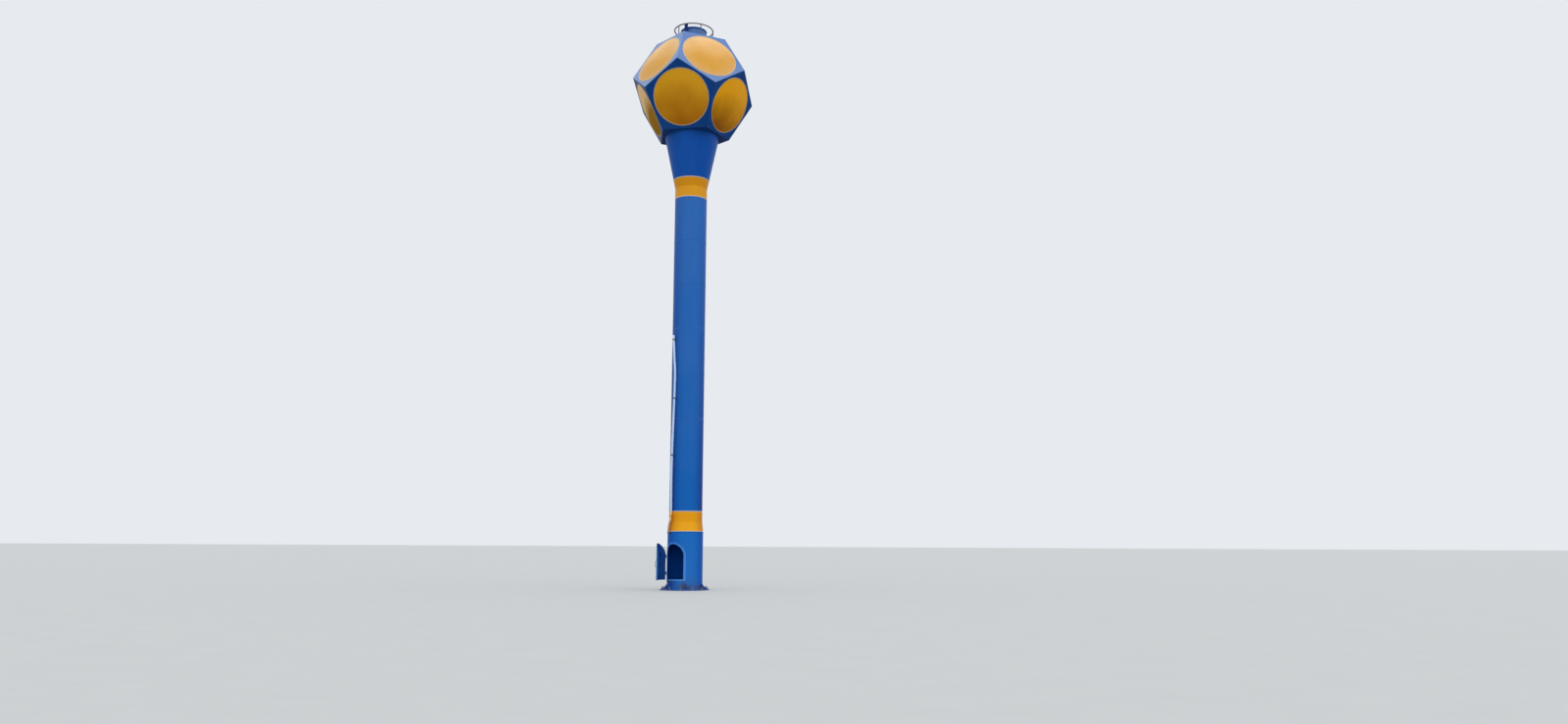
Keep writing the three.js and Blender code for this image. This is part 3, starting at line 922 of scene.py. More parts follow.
def run_tree(
    piece: bpy.types.Object, tree: bpy.types.NodeTree, values: dict[str, object]
) -> bpy.types.Object:
    """Runs a tree on a piece and keeps the result as its plain mesh.

    Args:
        piece: The object that the tree starts from.
        tree: The tree.
        values: The tree's inputs by name.

    Returns:
        The same object, with its new mesh.
    """
    modifier = piece.modifiers.new(tree.name, "NODES")
    modifier.node_group = tree
    for item in tree.interface.items_tree:
        if item.item_type == "SOCKET" and item.in_out == "INPUT" and item.name in values:
            modifier[item.identifier] = values[item.name]
    evaluated = piece.evaluated_get(bpy.context.evaluated_depsgraph_get())
    mesh = bpy.data.meshes.new_from_object(evaluated)
    piece.modifiers.clear()
    piece.data = mesh
    mesh.name = piece.name
    return piece


def edges_piece(name: str, lines: Sequence[Sequence[Vector]], closed: bool = False) -> bpy.types.Object:
    """Makes an object of bare edges for a tree to follow.

    Args:
        name: The object's name.
        lines: Each line's points.
        closed: Whether each line returns to its first point.

    Returns:
        The object.
    """
    points: list[Vector] = []
    edges: list[tuple[int, int]] = []
    for line in lines:
        first = len(points)
        points.extend(line)
        edges.extend((k, k + 1) for k in range(first, len(points) - 1))
        if closed:
            edges.append((len(points) - 1, first))
    mesh = bpy.data.meshes.new(name)
    mesh.from_pydata(points, edges, [])
    return placed(name, mesh)


def lay_tube(
    name: str,
    lines: Sequence[Sequence[Vector]],
    radius: float,
    finish: Finish,
    closed: bool = False,
    step: float = 0.02,
    ripple: float = 0.12,
    sides: int = 6,
    seed: int = 1,
    caps: bool = True,
) -> bpy.types.Object:
    """Lays a weld bead or a pipe along lines.

    Args:
        name: The piece's name.
        lines: The lines that it follows.
        radius: Its radius.
        finish: Its finish.
        closed: Whether each line returns to its first point.
        step: Distance between its cross-sections.
        ripple: How much its thickness varies, as a share of the radius.
        sides: Facets round it.
        seed: Seed of that variation.
        caps: Whether its ends are shut.

    Returns:
        The piece.
    """
    values = {"Radius": radius, "Step": step, "Ripple": ripple, "Sides": sides, "Seed": seed, "Caps": caps}
    return run_tree(edges_piece(name, lines, closed), TUBE, values | {"Paint": finish.material()})


def repeated(name: str, one: Blank, finish: Finish, count: int, first: float) -> bpy.types.Object:
    """Makes a piece of copies of one blank, evenly round the tower's axis.

    Args:
        name: The piece's name.
        one: The blank, drawn at azimuth 0.
        finish: Its finish.
        count: Number of copies.
        first: Azimuth of the first copy.

    Returns:
        The piece.
    """
    values = {"Count": count, "First": math.radians(first), "Paint": finish.material()}
    return run_tree(make_piece(name, one, finish), RING, values)


def bolt(blank: Blank, place: Matrix, size: float, stud: float) -> None:
    """Adds a hexagon nut on a washer with its stud to a blank.

    Args:
        blank: Where the bolt goes.
        place: Middle of the washer's underside, with +Z along the stud.
        size: Diameter of the stud.
        stud: Height of the stud's end above the washer's underside.
    """
    washer, nut = 0.15 * size, 0.95 * size
    blank.prism(circle(1.15 * size, steps=20), 0.0, washer, place)
    chamfer = 0.12 * size
    hexagon = circle(0.92 * size, steps=6)
    inner = [corner * 0.9 for corner in hexagon]
    levels = [(inner, washer), (hexagon, washer + chamfer), (hexagon, nut - chamfer), (inner, nut)]
    blank.loft([[place @ Vector((p.x, p.y, z)) for p in outline] for outline, z in levels])
    blank.prism(circle(0.5 * size, steps=12), nut - chamfer, stud, place)


@dataclass
class BaseCylinder:
    """Base plate, base cylinder with its arched doorway, and the plate that closes the shaft."""

    plate_radius: float = 0.640
    plate_top: float = 0.025
    plate_edge: float = 0.003
    stiffeners: int = 6
    bolt_circle: float = 0.585
    bolt_count: int = 12
    bolt_size: float = 0.030
    bolt_stud: float = 0.062
    first_bolt: float = 5.0
    radius: float = BASE_RADIUS
    wall: float = 0.010
    wall_spans: int = 72
    top: float = 1.490
    closing_bottom: float = 1.4903
    closing_top: float = 1.500
    door_azimuth: float = -27.7
    half_width: float = 0.290
    sill: float = 0.280
    springing: float = 0.890
    rise: float = 0.290
    frame_border: float = 0.045
    frame_inner: float = 0.4653
    frame_outer: float = 0.4733
    frame_edge: float = 0.0015

    def build(self) -> None:
        """Builds the base from the ground up."""
        self._base_plate()
        self._walls()
        self._doorway_frame()
        self._welds()

    def door_point(self, across: float, height: float, radius: float) -> Vector:
        """Returns the point of a round skin straight behind a point of the doorway's flat drawing.

        Args:
            across: Distance to the right of the doorway's middle.
            height: Height above the ground.
            radius: Radius of the skin.

        Returns:
            The point.
        """
        return at_azimuth(radius, self.door_azimuth + math.degrees(math.asin(across / radius)), height)

    def arch(self, border: float, steps: int = 28) -> list[Pair]:
        """Returns the doorway's arched head from right to left as places across and heights.

        Args:
            border: Distance outside the opening.
            steps: Number of spans.

        Returns:
            The points, with the two springing points at the ends.
        """
        wide, high = self.half_width + border, self.rise + border
        angles = spread(0.0, math.pi, steps)
        return [(wide * math.cos(a), self.springing + high * math.sin(a)) for a in angles]

    def outline(self, border: float) -> list[Pair]:
        """Returns the whole outline of the doorway.

        Args:
            border: Distance outside the opening.

        Returns:
            The points, anticlockwise from the right springing point.
        """
        wide, low = self.half_width + border, self.sill - border
        jamb = spread(low, self.springing, 6)[:-1]
        left, right = [(-wide, z) for z in reversed(jamb)], [(wide, z) for z in jamb]
        return self.arch(border) + left + [(x, low) for x in spread(-wide, wide, 12)[1:-1]] + right

    def _base_plate(self) -> None:
        """Makes the plate with its anchor bolts, and dresses the stiffeners."""
        rim, top, edge = self.plate_radius, self.plate_top, self.plate_edge
        profile = [(0, 0), (rim - edge, 0), (rim, edge), (rim, top - edge), (rim - edge, top), (0, top)]
        hang_turned("base_plate", profile, Slot.DARK_BLUE, DARK_BLUE)
        one = Blank()
        place = Matrix.Translation(at_azimuth(self.bolt_circle, 0.0, top))
        bolt(one, place, self.bolt_size, self.bolt_stud)
        hang(repeated("anchor_bolts", one, DARK_STEEL, self.bolt_count, self.first_bolt), Slot.STEEL)
        for number in range(1, self.stiffeners + 1):
            dress(f"base_stiffener_{number}", DARK_BLUE)

    def _walls(self) -> None:
        """Makes the wall beside, under and over the doorway, and the plate on top."""
        outer, inner = self.radius, self.radius - self.wall
        jamb, inner_jamb = (math.degrees(math.asin(self.half_width / r)) for r in (outer, inner))
        azimuths = spread(self.door_azimuth + jamb, self.door_azimuth - jamb + TURN, self.wall_spans)
        low, high = self.plate_top, self.top
        rings = []
        for azimuth, side in zip(azimuths, spread(1.0, -1.0, self.wall_spans)):
            behind = azimuth + (inner_jamb - jamb) * side
            front = [at_azimuth(outer, azimuth, z) for z in (low, high)]
            rings.append(front + [at_azimuth(inner, behind, z) for z in (high, low)])
        wall = Blank()
        wall.loft(rings)
        nodes = ("base_wall_right", "base_wall_back", "base_wall_left")
        hang(make_piece("base_wall_round", wall, BASE_BLUE), Slot.BLUE, *nodes)
        arch = self.arch(0.0)
        feet, heads = [self.plate_top] * len(arch), [z for _, z in arch]
        stretches = (("under", "sill", feet, self.sill), ("over", "lintel", heads, self.top))
        for where, node, lows, high in stretches:
            rings = []
            for (across, _), low in zip(arch, lows):
                ends = [(outer, low), (outer, high), (inner, high), (inner, low)]
                rings.append([self.door_point(across, z, radius) for radius, z in ends])
            blank = Blank()
            blank.loft(rings)
            hang(make_piece(f"base_wall_{where}_door", blank, BASE_BLUE), Slot.BLUE, f"base_wall_{node}")
        low, high = self.closing_bottom, self.closing_top
        profile = [(0, low), (outer, low), (outer, high), (0, high)]
        hang_turned("shaft_bottom", profile, Slot.BLUE, BASE_BLUE)

    def _doorway_frame(self) -> None:
        """Makes the stiffening frame round the doorway with the fixed halves of the hinges."""
        edge, border, outer = self.frame_edge, self.frame_border, self.frame_outer
        section = [(0.0, self.frame_inner), (0.0, outer - edge), (edge, outer), (border - edge, outer)]
        section += [(border, outer - edge), (border, self.frame_inner)]
        rings = []
        for corner in zip(*(self.outline(distance) for distance, _ in section)):
            rings.append([self.door_point(x, z, radius) for (x, z), (_, radius) in zip(corner, section)])
        blank = Blank()
        blank.loft(rings, closed=True)
        DOOR.add_fixed_hinges(blank, outer)
        hang(make_piece("doorway_frame", blank, FRAME_HIGHLIGHT_BLUE), Slot.BLUE, "door_frame")

    def _welds(self) -> None:
        """Lays the welds at the foot and top of the base cylinder and round the doorway frame."""
        levels = (self.plate_top + 0.002, self.closing_bottom + 0.0002, self.closing_top - 0.0002)
        rings = [circle(self.radius + 0.001, z) for z in levels]
        hang(lay_tube("base_ring_welds", rings, SEAM_BEAD, BASE_BLUE, closed=True, seed=3), Slot.BLUE)
        border = [self.door_point(x, z, self.radius) for x, z in self.outline(self.frame_border + 0.002)]
        hang(lay_tube("doorway_frame_weld", [border], FINE_BEAD, BASE_BLUE, closed=True, seed=4), Slot.BLUE)


@dataclass
class InspectionDoor:
    """Round-headed door leaf on two strap hinges, drawn shut and then swung open."""

    hinge_azimuth: float = -70.7
    hinge_radius: float = 0.493
    hinge_heights: Pair = (0.430, 0.860)
    open_angle: float = 65.0
    overlap: float = 0.020
    inner: float = 0.4783
    outer: float = 0.4863
    pin_radius: float = 0.006
    pin_end: float = 0.002
    pin_play: float = 0.0005
    knuckle_radius: float = 0.012
    knuckle_height: float = 0.060
    knuckle_edge: float = 0.001
    lug_gap: float = 0.0005
    lug_height: float = 0.012
    lug_root: float = 0.004
    strap_start: float = 1.1
    strap_span: float = 24.0
    strap_height: float = 0.050
    strap_thickness: float = 0.006
    strap_taper: float = 0.35
    strap_bolts: Triple = (7.0, 14.0, 21.0)
    rib_heights: Triple = (0.36, 0.64, 0.93)
    rib_reach: float = 0.20
    rib_depth: float = 0.016
    rib_half: float = 0.003
    handle_across: float = 0.225
    handle_heights: Pair = (0.600, 0.740)
    handle_proud: float = 0.034
    handle_radius: float = 0.006
    hasp_height: float = 0.80
    hasp_half: float = 0.018
    hasp_places: Triple = (0.20, 0.24, 0.28)

    def add_fixed_hinges(self, blank: Blank, frame_outer: float) -> None:
        """Adds the pins and lugs that stay on the doorway frame.

        Args:
            blank: The frame's blank.
            frame_outer: Radius of the frame's outer face.
        """
        reach = self.knuckle_height / 2 + self.lug_gap + self.lug_height
        axis = at_azimuth(self.hinge_radius, self.hinge_azimuth)
        near, half = frame_outer - self.lug_root, self.knuckle_radius
        angles = spread(0.0, math.pi, 10)
        nose = [Vector((half * math.cos(a), -self.hinge_radius - half * math.sin(a), 0.0)) for a in angles]
        lug = [Vector((-half, -near, 0.0)), Vector((half, -near, 0.0))] + nose
        for height in self.hinge_heights:
            place = Matrix.Translation((axis.x, axis.y, height))
            pin, end = circle(self.pin_radius, steps=20), reach + self.pin_end
            blank.prism(pin, -end, end, place)
            for side in (-1, 1):
                middle = height + side * (reach - self.lug_height / 2)
                low, high = middle - self.lug_height / 2, middle + self.lug_height / 2
                blank.prism(lug, low, high, spun(self.hinge_azimuth))

    def build(self) -> None:
        """Builds the leaf with its straps, ribs and handle, and swings it open."""
        blank = Blank()
        self._leaf(blank)
        for height in self.hinge_heights:
            self._strap(blank, height)
        self._ribs(blank)
        self._handle(blank)
        axis = at_azimuth(self.hinge_radius, self.hinge_azimuth)
        swung = Matrix.Translation(axis) @ spun(-self.open_angle) @ Matrix.Translation(-axis)
        blank.points = [swung @ point for point in blank.points]
        # The leaf's inner face and ribs take a darker blue: painted shade.
        piece = make_piece("inspection_door", blank, BASE_BLUE, DARK_BLUE)
        hang(piece, Slot.BLUE, "base_door", body=Body.DOOR)

    def _leaf(self, blank: Blank) -> None:
        """Adds the curved plate of the leaf, with its inner face in the second, darker paint as painted
        shade.

        Args:
            blank: The leaf's blank.
        """
        low, levels = BASE.sill - self.overlap, 10
        rings = []
        for across, high in BASE.arch(self.overlap, 40):
            heights = spread(low, high, levels)
            front = [BASE.door_point(across, z, self.outer) for z in heights]
            back = [BASE.door_point(across, z, self.inner) for z in reversed(heights)]
            rings.append(front + back)
        blank.loft(rings, paints=[0] * (levels + 1) + [1] * levels + [0])

    def _strap(self, blank: Blank, height: float) -> None:
        """Adds one strap with its knuckle and three bolts.

        Args:
            blank: The leaf's blank.
            height: Middle of the strap.
        """
        half, start = self.strap_height / 2, self.strap_start
        inner, outer = self.outer - 0.0005, self.outer + self.strap_thickness
        rings = []
        for turned, past_middle in zip(spread(start, self.strap_span, 12), spread(-1.0, 1.0, 12)):
            narrow = half * (1.0 - self.strap_taper * max(0.0, past_middle))
            ends = [(inner, -narrow), (outer, -narrow), (outer, narrow), (inner, narrow)]
            rings.append([at_azimuth(r, self.hinge_azimuth + turned, height + z) for r, z in ends])
        blank.loft(rings)
        axis = at_azimuth(self.hinge_radius, self.hinge_azimuth, height)
        tall, bore = self.knuckle_height / 2, self.pin_radius + self.pin_play
        rim, edge = self.knuckle_radius, self.knuckle_edge
        profile = [(bore, -tall), (rim - edge, -tall), (rim, edge - tall)]
        profile += [(rim, tall - edge), (rim - edge, tall), (bore, tall)]
        blank.turn(profile, Matrix.Translation(axis), steps=24)
        for turned in self.strap_bolts:
            azimuth = self.hinge_azimuth + turned
            place = Matrix.Translation(at_azimuth(outer, azimuth, height)) @ facing(azimuth)
            bolt(blank, place, size=0.008, stud=0.010)

    def _ribs(self, blank: Blank) -> None:
        """Adds three level stiffening ribs on the leaf's inner face.

        Args:
            blank: The leaf's blank.
        """
        half, deep = self.rib_half, self.inner - self.rib_depth
        section = [(self.inner, -half), (self.inner, half), (deep, half), (deep, -half)]
        places = spread(-self.rib_reach, self.rib_reach, 16)
        blank.paint = 1
        for height in self.rib_heights:
            blank.loft([[BASE.door_point(x, height + z, radius) for radius, z in section] for x in places])
        blank.paint = 0

    def _handle(self, blank: Blank) -> None:
        """Adds a bent bar handle and a hasp near the free edge.

        Args:
            blank: The leaf's blank.
        """
        low, high = self.handle_heights
        azimuth = BASE.door_azimuth + math.degrees(math.asin(self.handle_across / self.outer))
        corners = [(self.outer - 0.002, low), (self.outer + self.handle_proud, low + 0.004)]
        corners += [(radius, low + high - z) for radius, z in reversed(corners)]
        path = [at_azimuth(radius, azimuth, z) for radius, z in corners]
        blank.bar(path, at_azimuth(1.0, azimuth + 90.0), self.handle_radius)
        near, far, half = self.outer - 0.001, self.outer + 0.005, self.hasp_half
        hasp = [(near, -half), (far, -half), (far, half), (near, half)]
        rings = [[BASE.door_point(x, self.hasp_height + z, r) for r, z in hasp] for x in self.hasp_places]
        blank.loft(rings)


BASE = BaseCylinder()
DOOR = InspectionDoor()


@dataclass
class RiserShaft:
    """Round shaft of seven courses between two yellow bands, and the flare under the tank."""

    radius: float = SHAFT_RADIUS
    base_radius: float = BASE_RADIUS
    wall: float = 0.009
    taper_bottom: float = 1.500
    taper_top: float = 1.770
    band_top: float = LOWER_BAND_TOP
    courses: int = 7
    upper_band_bottom: float = 10.522
    flare_bottom: float = 10.826
    upper_band_top: float = 11.075
    flare_top: float = 12.3049
    flare_radius: float = 0.745
    line_height: float = 0.022
    first_upright: float = 75.0
    upright_turn: float = 140.0

    def build(self) -> None:
        """Builds the shaft from the lower band up."""
        low, high = (self.radius, self.taper_top), (self.radius, self.band_top)
        self._band("lower_band_taper", (self.base_radius, self.taper_bottom), low, LIT_TAPER_YELLOW, Edge.LOW)
        self._band("lower_band_ring", low, high, BAND_YELLOW, Edge.HIGH)
        step = (self.upper_band_bottom - self.band_top) / self.courses
        for index in range(self.courses):
            bottom = self.band_top + index * step
            profile = self._wall((self.radius, bottom), (self.radius, bottom + step))
            hang_turned(f"shaft_course_{index + 1}", profile, Slot.BLUE, SHAFT_BLUE)
        low, high = (self.radius, self.upper_band_bottom), (self.radius, self.flare_bottom)
        slope = (self.flare_radius - self.radius) / (self.flare_top - self.flare_bottom)
        middle = self.radius + slope * (self.upper_band_top - self.flare_bottom)
        self._band("upper_band_ring", low, high, UPPER_YELLOW, Edge.LOW)
        self._band("upper_band_cone", high, (middle, self.upper_band_top), SHADED_CONE_YELLOW, Edge.HIGH)
        profile = self._wall((middle, self.upper_band_top), (self.flare_radius, self.flare_top))
        hang_turned("flare_cone", profile, Slot.BLUE, SHADED_FLARE_BLUE)
        self._welds(step, middle)

    def _wall(self, low: Pair, high: Pair) -> list[Pair]:
        """Returns the closed profile of a wall between two outer points."""
        return [low, high, (high[0] - self.wall, high[1]), (low[0] - self.wall, low[1])]

    def _band(self, node: str, low: Pair, high: Pair, finish: Finish, line: Edge) -> None:
        """Makes one yellow ring with a pale line along one edge.

        Args:
            node: The CAD node that it stands for.
            low: Outer radius and height of its lower edge.
            high: Outer radius and height of its upper edge.
            finish: Its yellow paint.
            line: The edge with the pale line.
        """
        share = self.line_height / (high[1] - low[1])
        cut = share if line is Edge.LOW else 1.0 - share
        middle = (low[0] + (high[0] - low[0]) * cut, low[1] + (high[1] - low[1]) * cut)
        paints = (1, 0, 0, 0, 0) if line is Edge.LOW else (0, 1, 0, 0, 0)
        profile = [low, middle, *self._wall(low, high)[1:]]
        hang_turned(node, profile, Slot.YELLOW, finish, PALE_LINE, paints=paints)

    def _welds(self, step: float, cone_radius: float) -> None:
        """Lays the ring welds and the upright weld of each course.

        Args:
            step: Height of a course.
            cone_radius: Radius of the flare at the top of the upper band.
        """
        bottoms = [self.band_top + index * step for index in range(self.courses)]
        seams = [(self.radius, z) for z in bottoms[1:]]
        edges = [(self.radius, z) for z in (self.band_top, self.upper_band_bottom)]
        edges.append((cone_radius, self.upper_band_top))
        middles = [(self.radius, z) for z in (self.taper_top, self.flare_bottom)]
        rows = (
            ("shaft_ring_welds", seams, SEAM_BEAD, SHAFT_BLUE, Slot.BLUE),
            ("band_edge_welds", edges, FINE_BEAD, PALE_LINE, Slot.YELLOW),
            ("band_middle_welds", middles, FINE_BEAD, BAND_YELLOW, Slot.YELLOW),
        )
        for seed, (name, places, bead, finish, slot) in enumerate(rows, start=5):
            rings = [circle(radius - 0.0005, z) for radius, z in places]
            hang(lay_tube(name, rings, bead, finish, closed=True, seed=seed), slot)
        uprights = []
        for index, low in enumerate(bottoms):
            azimuth = self.first_upright + self.upright_turn * index
            uprights.append([at_azimuth(self.radius - 0.001, azimuth, z) for z in spread(low, low + step, 8)])
        hang(lay_tube("shaft_upright_welds", uprights, FINE_BEAD, SHAFT_BLUE, seed=8), Slot.BLUE)


@dataclass
class Tank:
    """Regular dodecahedron of welded pentagon plates with a dished disc in each side panel."""

    edge: float = 1.210
    top: float = 15.000
    plate: float = 0.006
    disc_radius: float = 0.755
    disc_rise: float = 0.055
    disc_gap: float = 0.0003
    rim_width: float = 0.021
    rim_height: float = 0.008
    bead_inset: float = 0.010
    bead_radius: float = 0.0096

    def build(self) -> None:
        """Dresses the panels and builds the discs and welds."""
        # The lower panels take the painted-shade blue, the upper panels and the top the painted-light blues.
        for number in range(1, 6):
            dress(f"lower_panel_{number}", SHADED_TANK_BLUE)
            dress(f"upper_panel_{number}", LIGHTEST_LIT_BLUE if number > 3 else LIT_TANK_BLUE)
        dress("tank_floor", DARK_BLUE)
        dress("tank_top", LIT_TANK_BLUE)
        # Lower discs take the painted-shade yellows, the right one a lighter copy and the left one a painted
        # sky reflection; upper discs take the painted-light yellows.
        lower = (SHADED_YELLOW, RIGHT_YELLOW, SHADED_YELLOW, SHADED_YELLOW, LEFT_YELLOW)
        upper = (LIT_DISC_YELLOW, LIT_DISC_YELLOW, LIT_DISC_YELLOW, DUSTED_LIT_YELLOW, DUSTED_LIT_YELLOW)
        for number, (low, high) in enumerate(zip(lower, upper)):
            self._disc(f"lower_disc_{number + 1}", FIFTH * number, -self.tilt, low, SHADED_LINE)
            azimuth = FIFTH * number + FIFTH / 2
            middle = tuple(self.face(azimuth, self.tilt).translation)
            dusty = replace(high, name=f"{high.name}_{number + 1}", middle=middle)
            self._disc(f"upper_disc_{number + 1}", azimuth, self.tilt, dusty, LIT_LINE)
        self._edge_welds()

    @property
    def tilt(self) -> float:
        """Elevation of an upper panel's outward direction, in degrees."""
        return math.degrees(math.atan(0.5))

    @property
    def in_radius(self) -> float:
        """Distance from the tank's middle to each face."""
        return self.edge * math.sqrt(250.0 + 110.0 * math.sqrt(5.0)) / 20.0

    def face(self, azimuth: float, elevation: float) -> Matrix:
        """Returns the place of a face, with +Z outwards and the origin at its middle.

        Args:
            azimuth: Azimuth of the outward direction.
            elevation: Elevation of the outward direction.

        Returns:
            The matrix that moves a shape drawn at the origin onto the face.
        """
        middle = Matrix.Translation((0.0, 0.0, self.top - self.in_radius))
        return middle @ facing(azimuth, elevation) @ Matrix.Translation((0.0, 0.0, self.in_radius))

    def _disc(self, node: str, azimuth: float, elevation: float, finish: Finish, line: Finish) -> None:
        """Makes one dished disc with its raised, pale-painted rim.

        Args:
            node: The CAD node that it stands for.
            azimuth: Azimuth of its panel.
            elevation: Elevation of its panel.
            finish: The finish inside the rim.
            line: The finish of the rim.
        """
        place = self.face(azimuth, elevation)
        radius = self.disc_radius - self.disc_gap
        sphere = (radius**2 + self.disc_rise**2) / (2.0 * self.disc_rise)
        lift = self.disc_rise - sphere
        skin = [(r, math.sqrt(sphere**2 - r**2) + lift) for r in spread(0.0, radius, 10)]
        back = [(r, z - self.plate) for r, z in reversed(skin)]
        blank = Blank()
        blank.turn(skin + back, place)
        blank.paint = 1
        half, high = self.rim_width / 2, self.rim_height
        section = [(-half, -0.003), (-half, 0.002), (-0.7 * half, 0.8 * high), (-0.2 * half, high)]
        section += [(-x, z) for x, z in reversed(section)]
        blank.turn([(self.disc_radius + x, z) for x, z in section], place)
        hang(make_piece(f"{node}_dished", blank, finish, line), Slot.YELLOW, node)

    def _edge_welds(self) -> None:
        """Lays a bead along each of the thirty edges, just inside the sharp corner."""
        face_radius = self.edge / (2.0 * math.sin(math.pi / 5))
        golden = (1.0 + math.sqrt(5.0)) / 2.0
        middle = Vector((0.0, 0.0, self.top - self.in_radius))
        shrink = 1.0 - self.bead_inset / (self.edge * golden**2 / 2.0)
        waist = self.in_radius - face_radius
        corners: list[list[Vector]] = []
        reaches = ((1.0, self.in_radius), (golden, waist), (golden, -waist), (1.0, -self.in_radius))
        for (reach, height), turned in zip(reaches, (0.0, 0.0, FIFTH / 2, FIFTH / 2)):
            ring = [at_azimuth(face_radius * reach, turned + FIFTH * k, height) for k in range(5)]
            corners.append([corner * shrink + middle for corner in ring])
        top, upper, lower, bottom = corners
        high, low = [], []
        for k in range(5):
            following = (k + 1) % 5
            high += [[top[k], top[following]], [top[k], upper[k]]]
            low += [[bottom[k], bottom[following]], [lower[k], bottom[k]]]
            low += [[upper[k], lower[k]], [lower[k], upper[following]]]
        even = {"step": 0.025, "ripple": 0.02, "seed": 9}
        for name, lines, finish in (("upper", high, LIT_TANK_BLUE), ("lower", low, SHADED_TANK_BLUE)):
            hang(lay_tube(f"tank_{name}_edge_welds", lines, self.bead_radius, finish, **even), Slot.BLUE)


@dataclass
class Head:
    """Manhole neck with its lid, the guard ring on five posts, and the vent pipe."""

    deck: float = 15.0003
    neck_radius: float = 0.345
    neck_wall: float = 0.008
    neck_top: float = 15.427
    neck_bead: float = 0.006
    lid_radius: float = 0.360
    lid_top: float = 15.445
    lid_skirt: float = 15.395
    lid_plate: float = 0.006
    lid_bolts: int = 12
    first_lid_bolt: float = 10.0
    handle_across: float = 0.17
    handle_half: float = 0.06
    handle_rise: float = 0.032
    handle_radius: float = 0.006
    ring_radius: float = 0.535
    ring_height: float = 15.450
    ring_pipe: float = 0.017
    posts: int = 5
    first_post: float = 36.0
    post_radius: float = 0.015
    foot_radius: float = 0.034
    foot_plate: float = 0.006
    vent_radius: float = 0.051
    vent_wall: float = 0.004
    vent_lip: float = 0.002
    vent_top: float = 15.485
    vent_azimuth: float = -14.0
    vent_from_axis: float = 0.440
    screen_pitch: float = 0.010
    screen_wire: float = 0.0012

    def build(self) -> None:
        """Builds the head from the deck up."""
        self._neck()
        self._lid()
        self._guard()
        self._vent()

    def _neck(self) -> None:
        """Makes the round neck and the weld at its foot."""
        outer, inner, top = self.neck_radius, self.neck_radius - self.neck_wall, self.neck_top
        profile = [(outer, self.deck), (outer, top), (inner, top), (inner, self.deck)]
        hang_turned("manhole_neck", profile, Slot.BLUE, NECK_BLUE)
        foot = [circle(outer + 0.001, self.deck + 0.002)]
        hang(lay_tube("manhole_neck_weld", foot, self.neck_bead, NECK_BLUE, closed=True, seed=10), Slot.BLUE)

    def _lid(self) -> None:
        """Makes the crowned lid with its skirt, its bolts and two lifting handles."""
        rim, top, low = self.lid_radius, self.lid_top, self.lid_skirt
        inside, under = rim - self.lid_plate, self.neck_top + 0.0003
        blank = Blank()
        blank.turn([
            (0.0, under), (inside, under), (inside, low), (rim, low),
            (rim, top - 0.012), (rim - 0.004, top - 0.008), (rim * 0.6, top - 0.003), (0.0, top),
        ])
        for side in (-1, 1):
            self._handle(blank, side * self.handle_across)
        hang(make_piece("manhole_lid_crowned", blank, DARK_BLUE), Slot.DARK_BLUE, "manhole_lid")
        one = Blank()
        place = Matrix.Translation(at_azimuth(rim, 0.0, (low + top) / 2 - 0.006))
        bolt(one, place @ facing(0.0), size=0.010, stud=0.014)
        bolts = repeated("manhole_lid_bolts", one, DARK_STEEL, self.lid_bolts, self.first_lid_bolt)
        hang(bolts, Slot.STEEL)

    def _handle(self, blank: Blank, across: float) -> None:
        """Adds one bent round bar on the lid.

        Args:
            blank: The lid's blank.
            across: Where the bar's middle stands along X.
        """
        low, high, half = self.lid_top - 0.008, self.lid_top + self.handle_rise, self.handle_half
        path = [Vector((across, y, z)) for y, z in ((-half, low), (-half, high), (half, high), (half, low))]
        blank.bar(path, Vector((1.0, 0.0, 0.0)), self.handle_radius)

    def _guard(self) -> None:
        """Makes the guard ring with its posts and their foot plates."""
        hoop = [circle(self.ring_radius, self.ring_height)]
        options = {"closed": True, "sides": 12, "ripple": 0.0, "step": 0.03}
        ring = lay_tube("guard_ring_pipe", hoop, self.ring_pipe, DARK_STEEL, **options)
        hang(ring, Slot.STEEL, "guard_ring")
        one = Blank()
        place = Matrix.Translation(at_azimuth(self.ring_radius, 0.0))
        one.prism(circle(self.foot_radius, steps=20), self.deck, self.deck + self.foot_plate, place)
        one.prism(circle(self.post_radius, steps=16), self.deck + 0.005, self.ring_height, place)
        posts = repeated("guard_ring_posts", one, DARK_STEEL, self.posts, self.first_post)
        hang(posts, Slot.STEEL, "guard_ring")

    def _vent(self) -> None:
        """Makes the vent pipe with a rolled lip and a wire screen in its mouth."""
        outer, inner, lip = self.vent_radius, self.vent_radius - self.vent_wall, self.vent_lip
        top, screen = self.vent_top, self.vent_top - 0.012
        place = Matrix.Translation(at_azimuth(self.vent_from_axis, self.vent_azimuth))
        blank = Blank()
        profile = [(outer - lip, self.deck), (outer - lip, top - 0.014), (outer, screen), (outer, top - lip)]
        profile += [(outer - lip, top), (inner, top), (inner, self.deck)]
        blank.turn(profile, place, steps=40)
        corners = [Vector((x, 0, z)) * self.screen_wire for x, z in ((-1, -1), (1, -1), (1, 1), (-1, 1))]
        for number in range(-4, 5):
            across = number * self.screen_pitch
            reach = math.sqrt(inner**2 - across**2)
            ends = [Vector((across, -reach, screen)), Vector((across, reach, screen))]
            for turned in (0.0, 90.0):
                moved = place @ spun(turned)
                blank.loft([[moved @ (end + corner) for corner in corners] for end in ends])
        hang(make_piece("vent_pipe_lipped", blank, NAVY), Slot.DARK_BLUE, "vent_pipe")


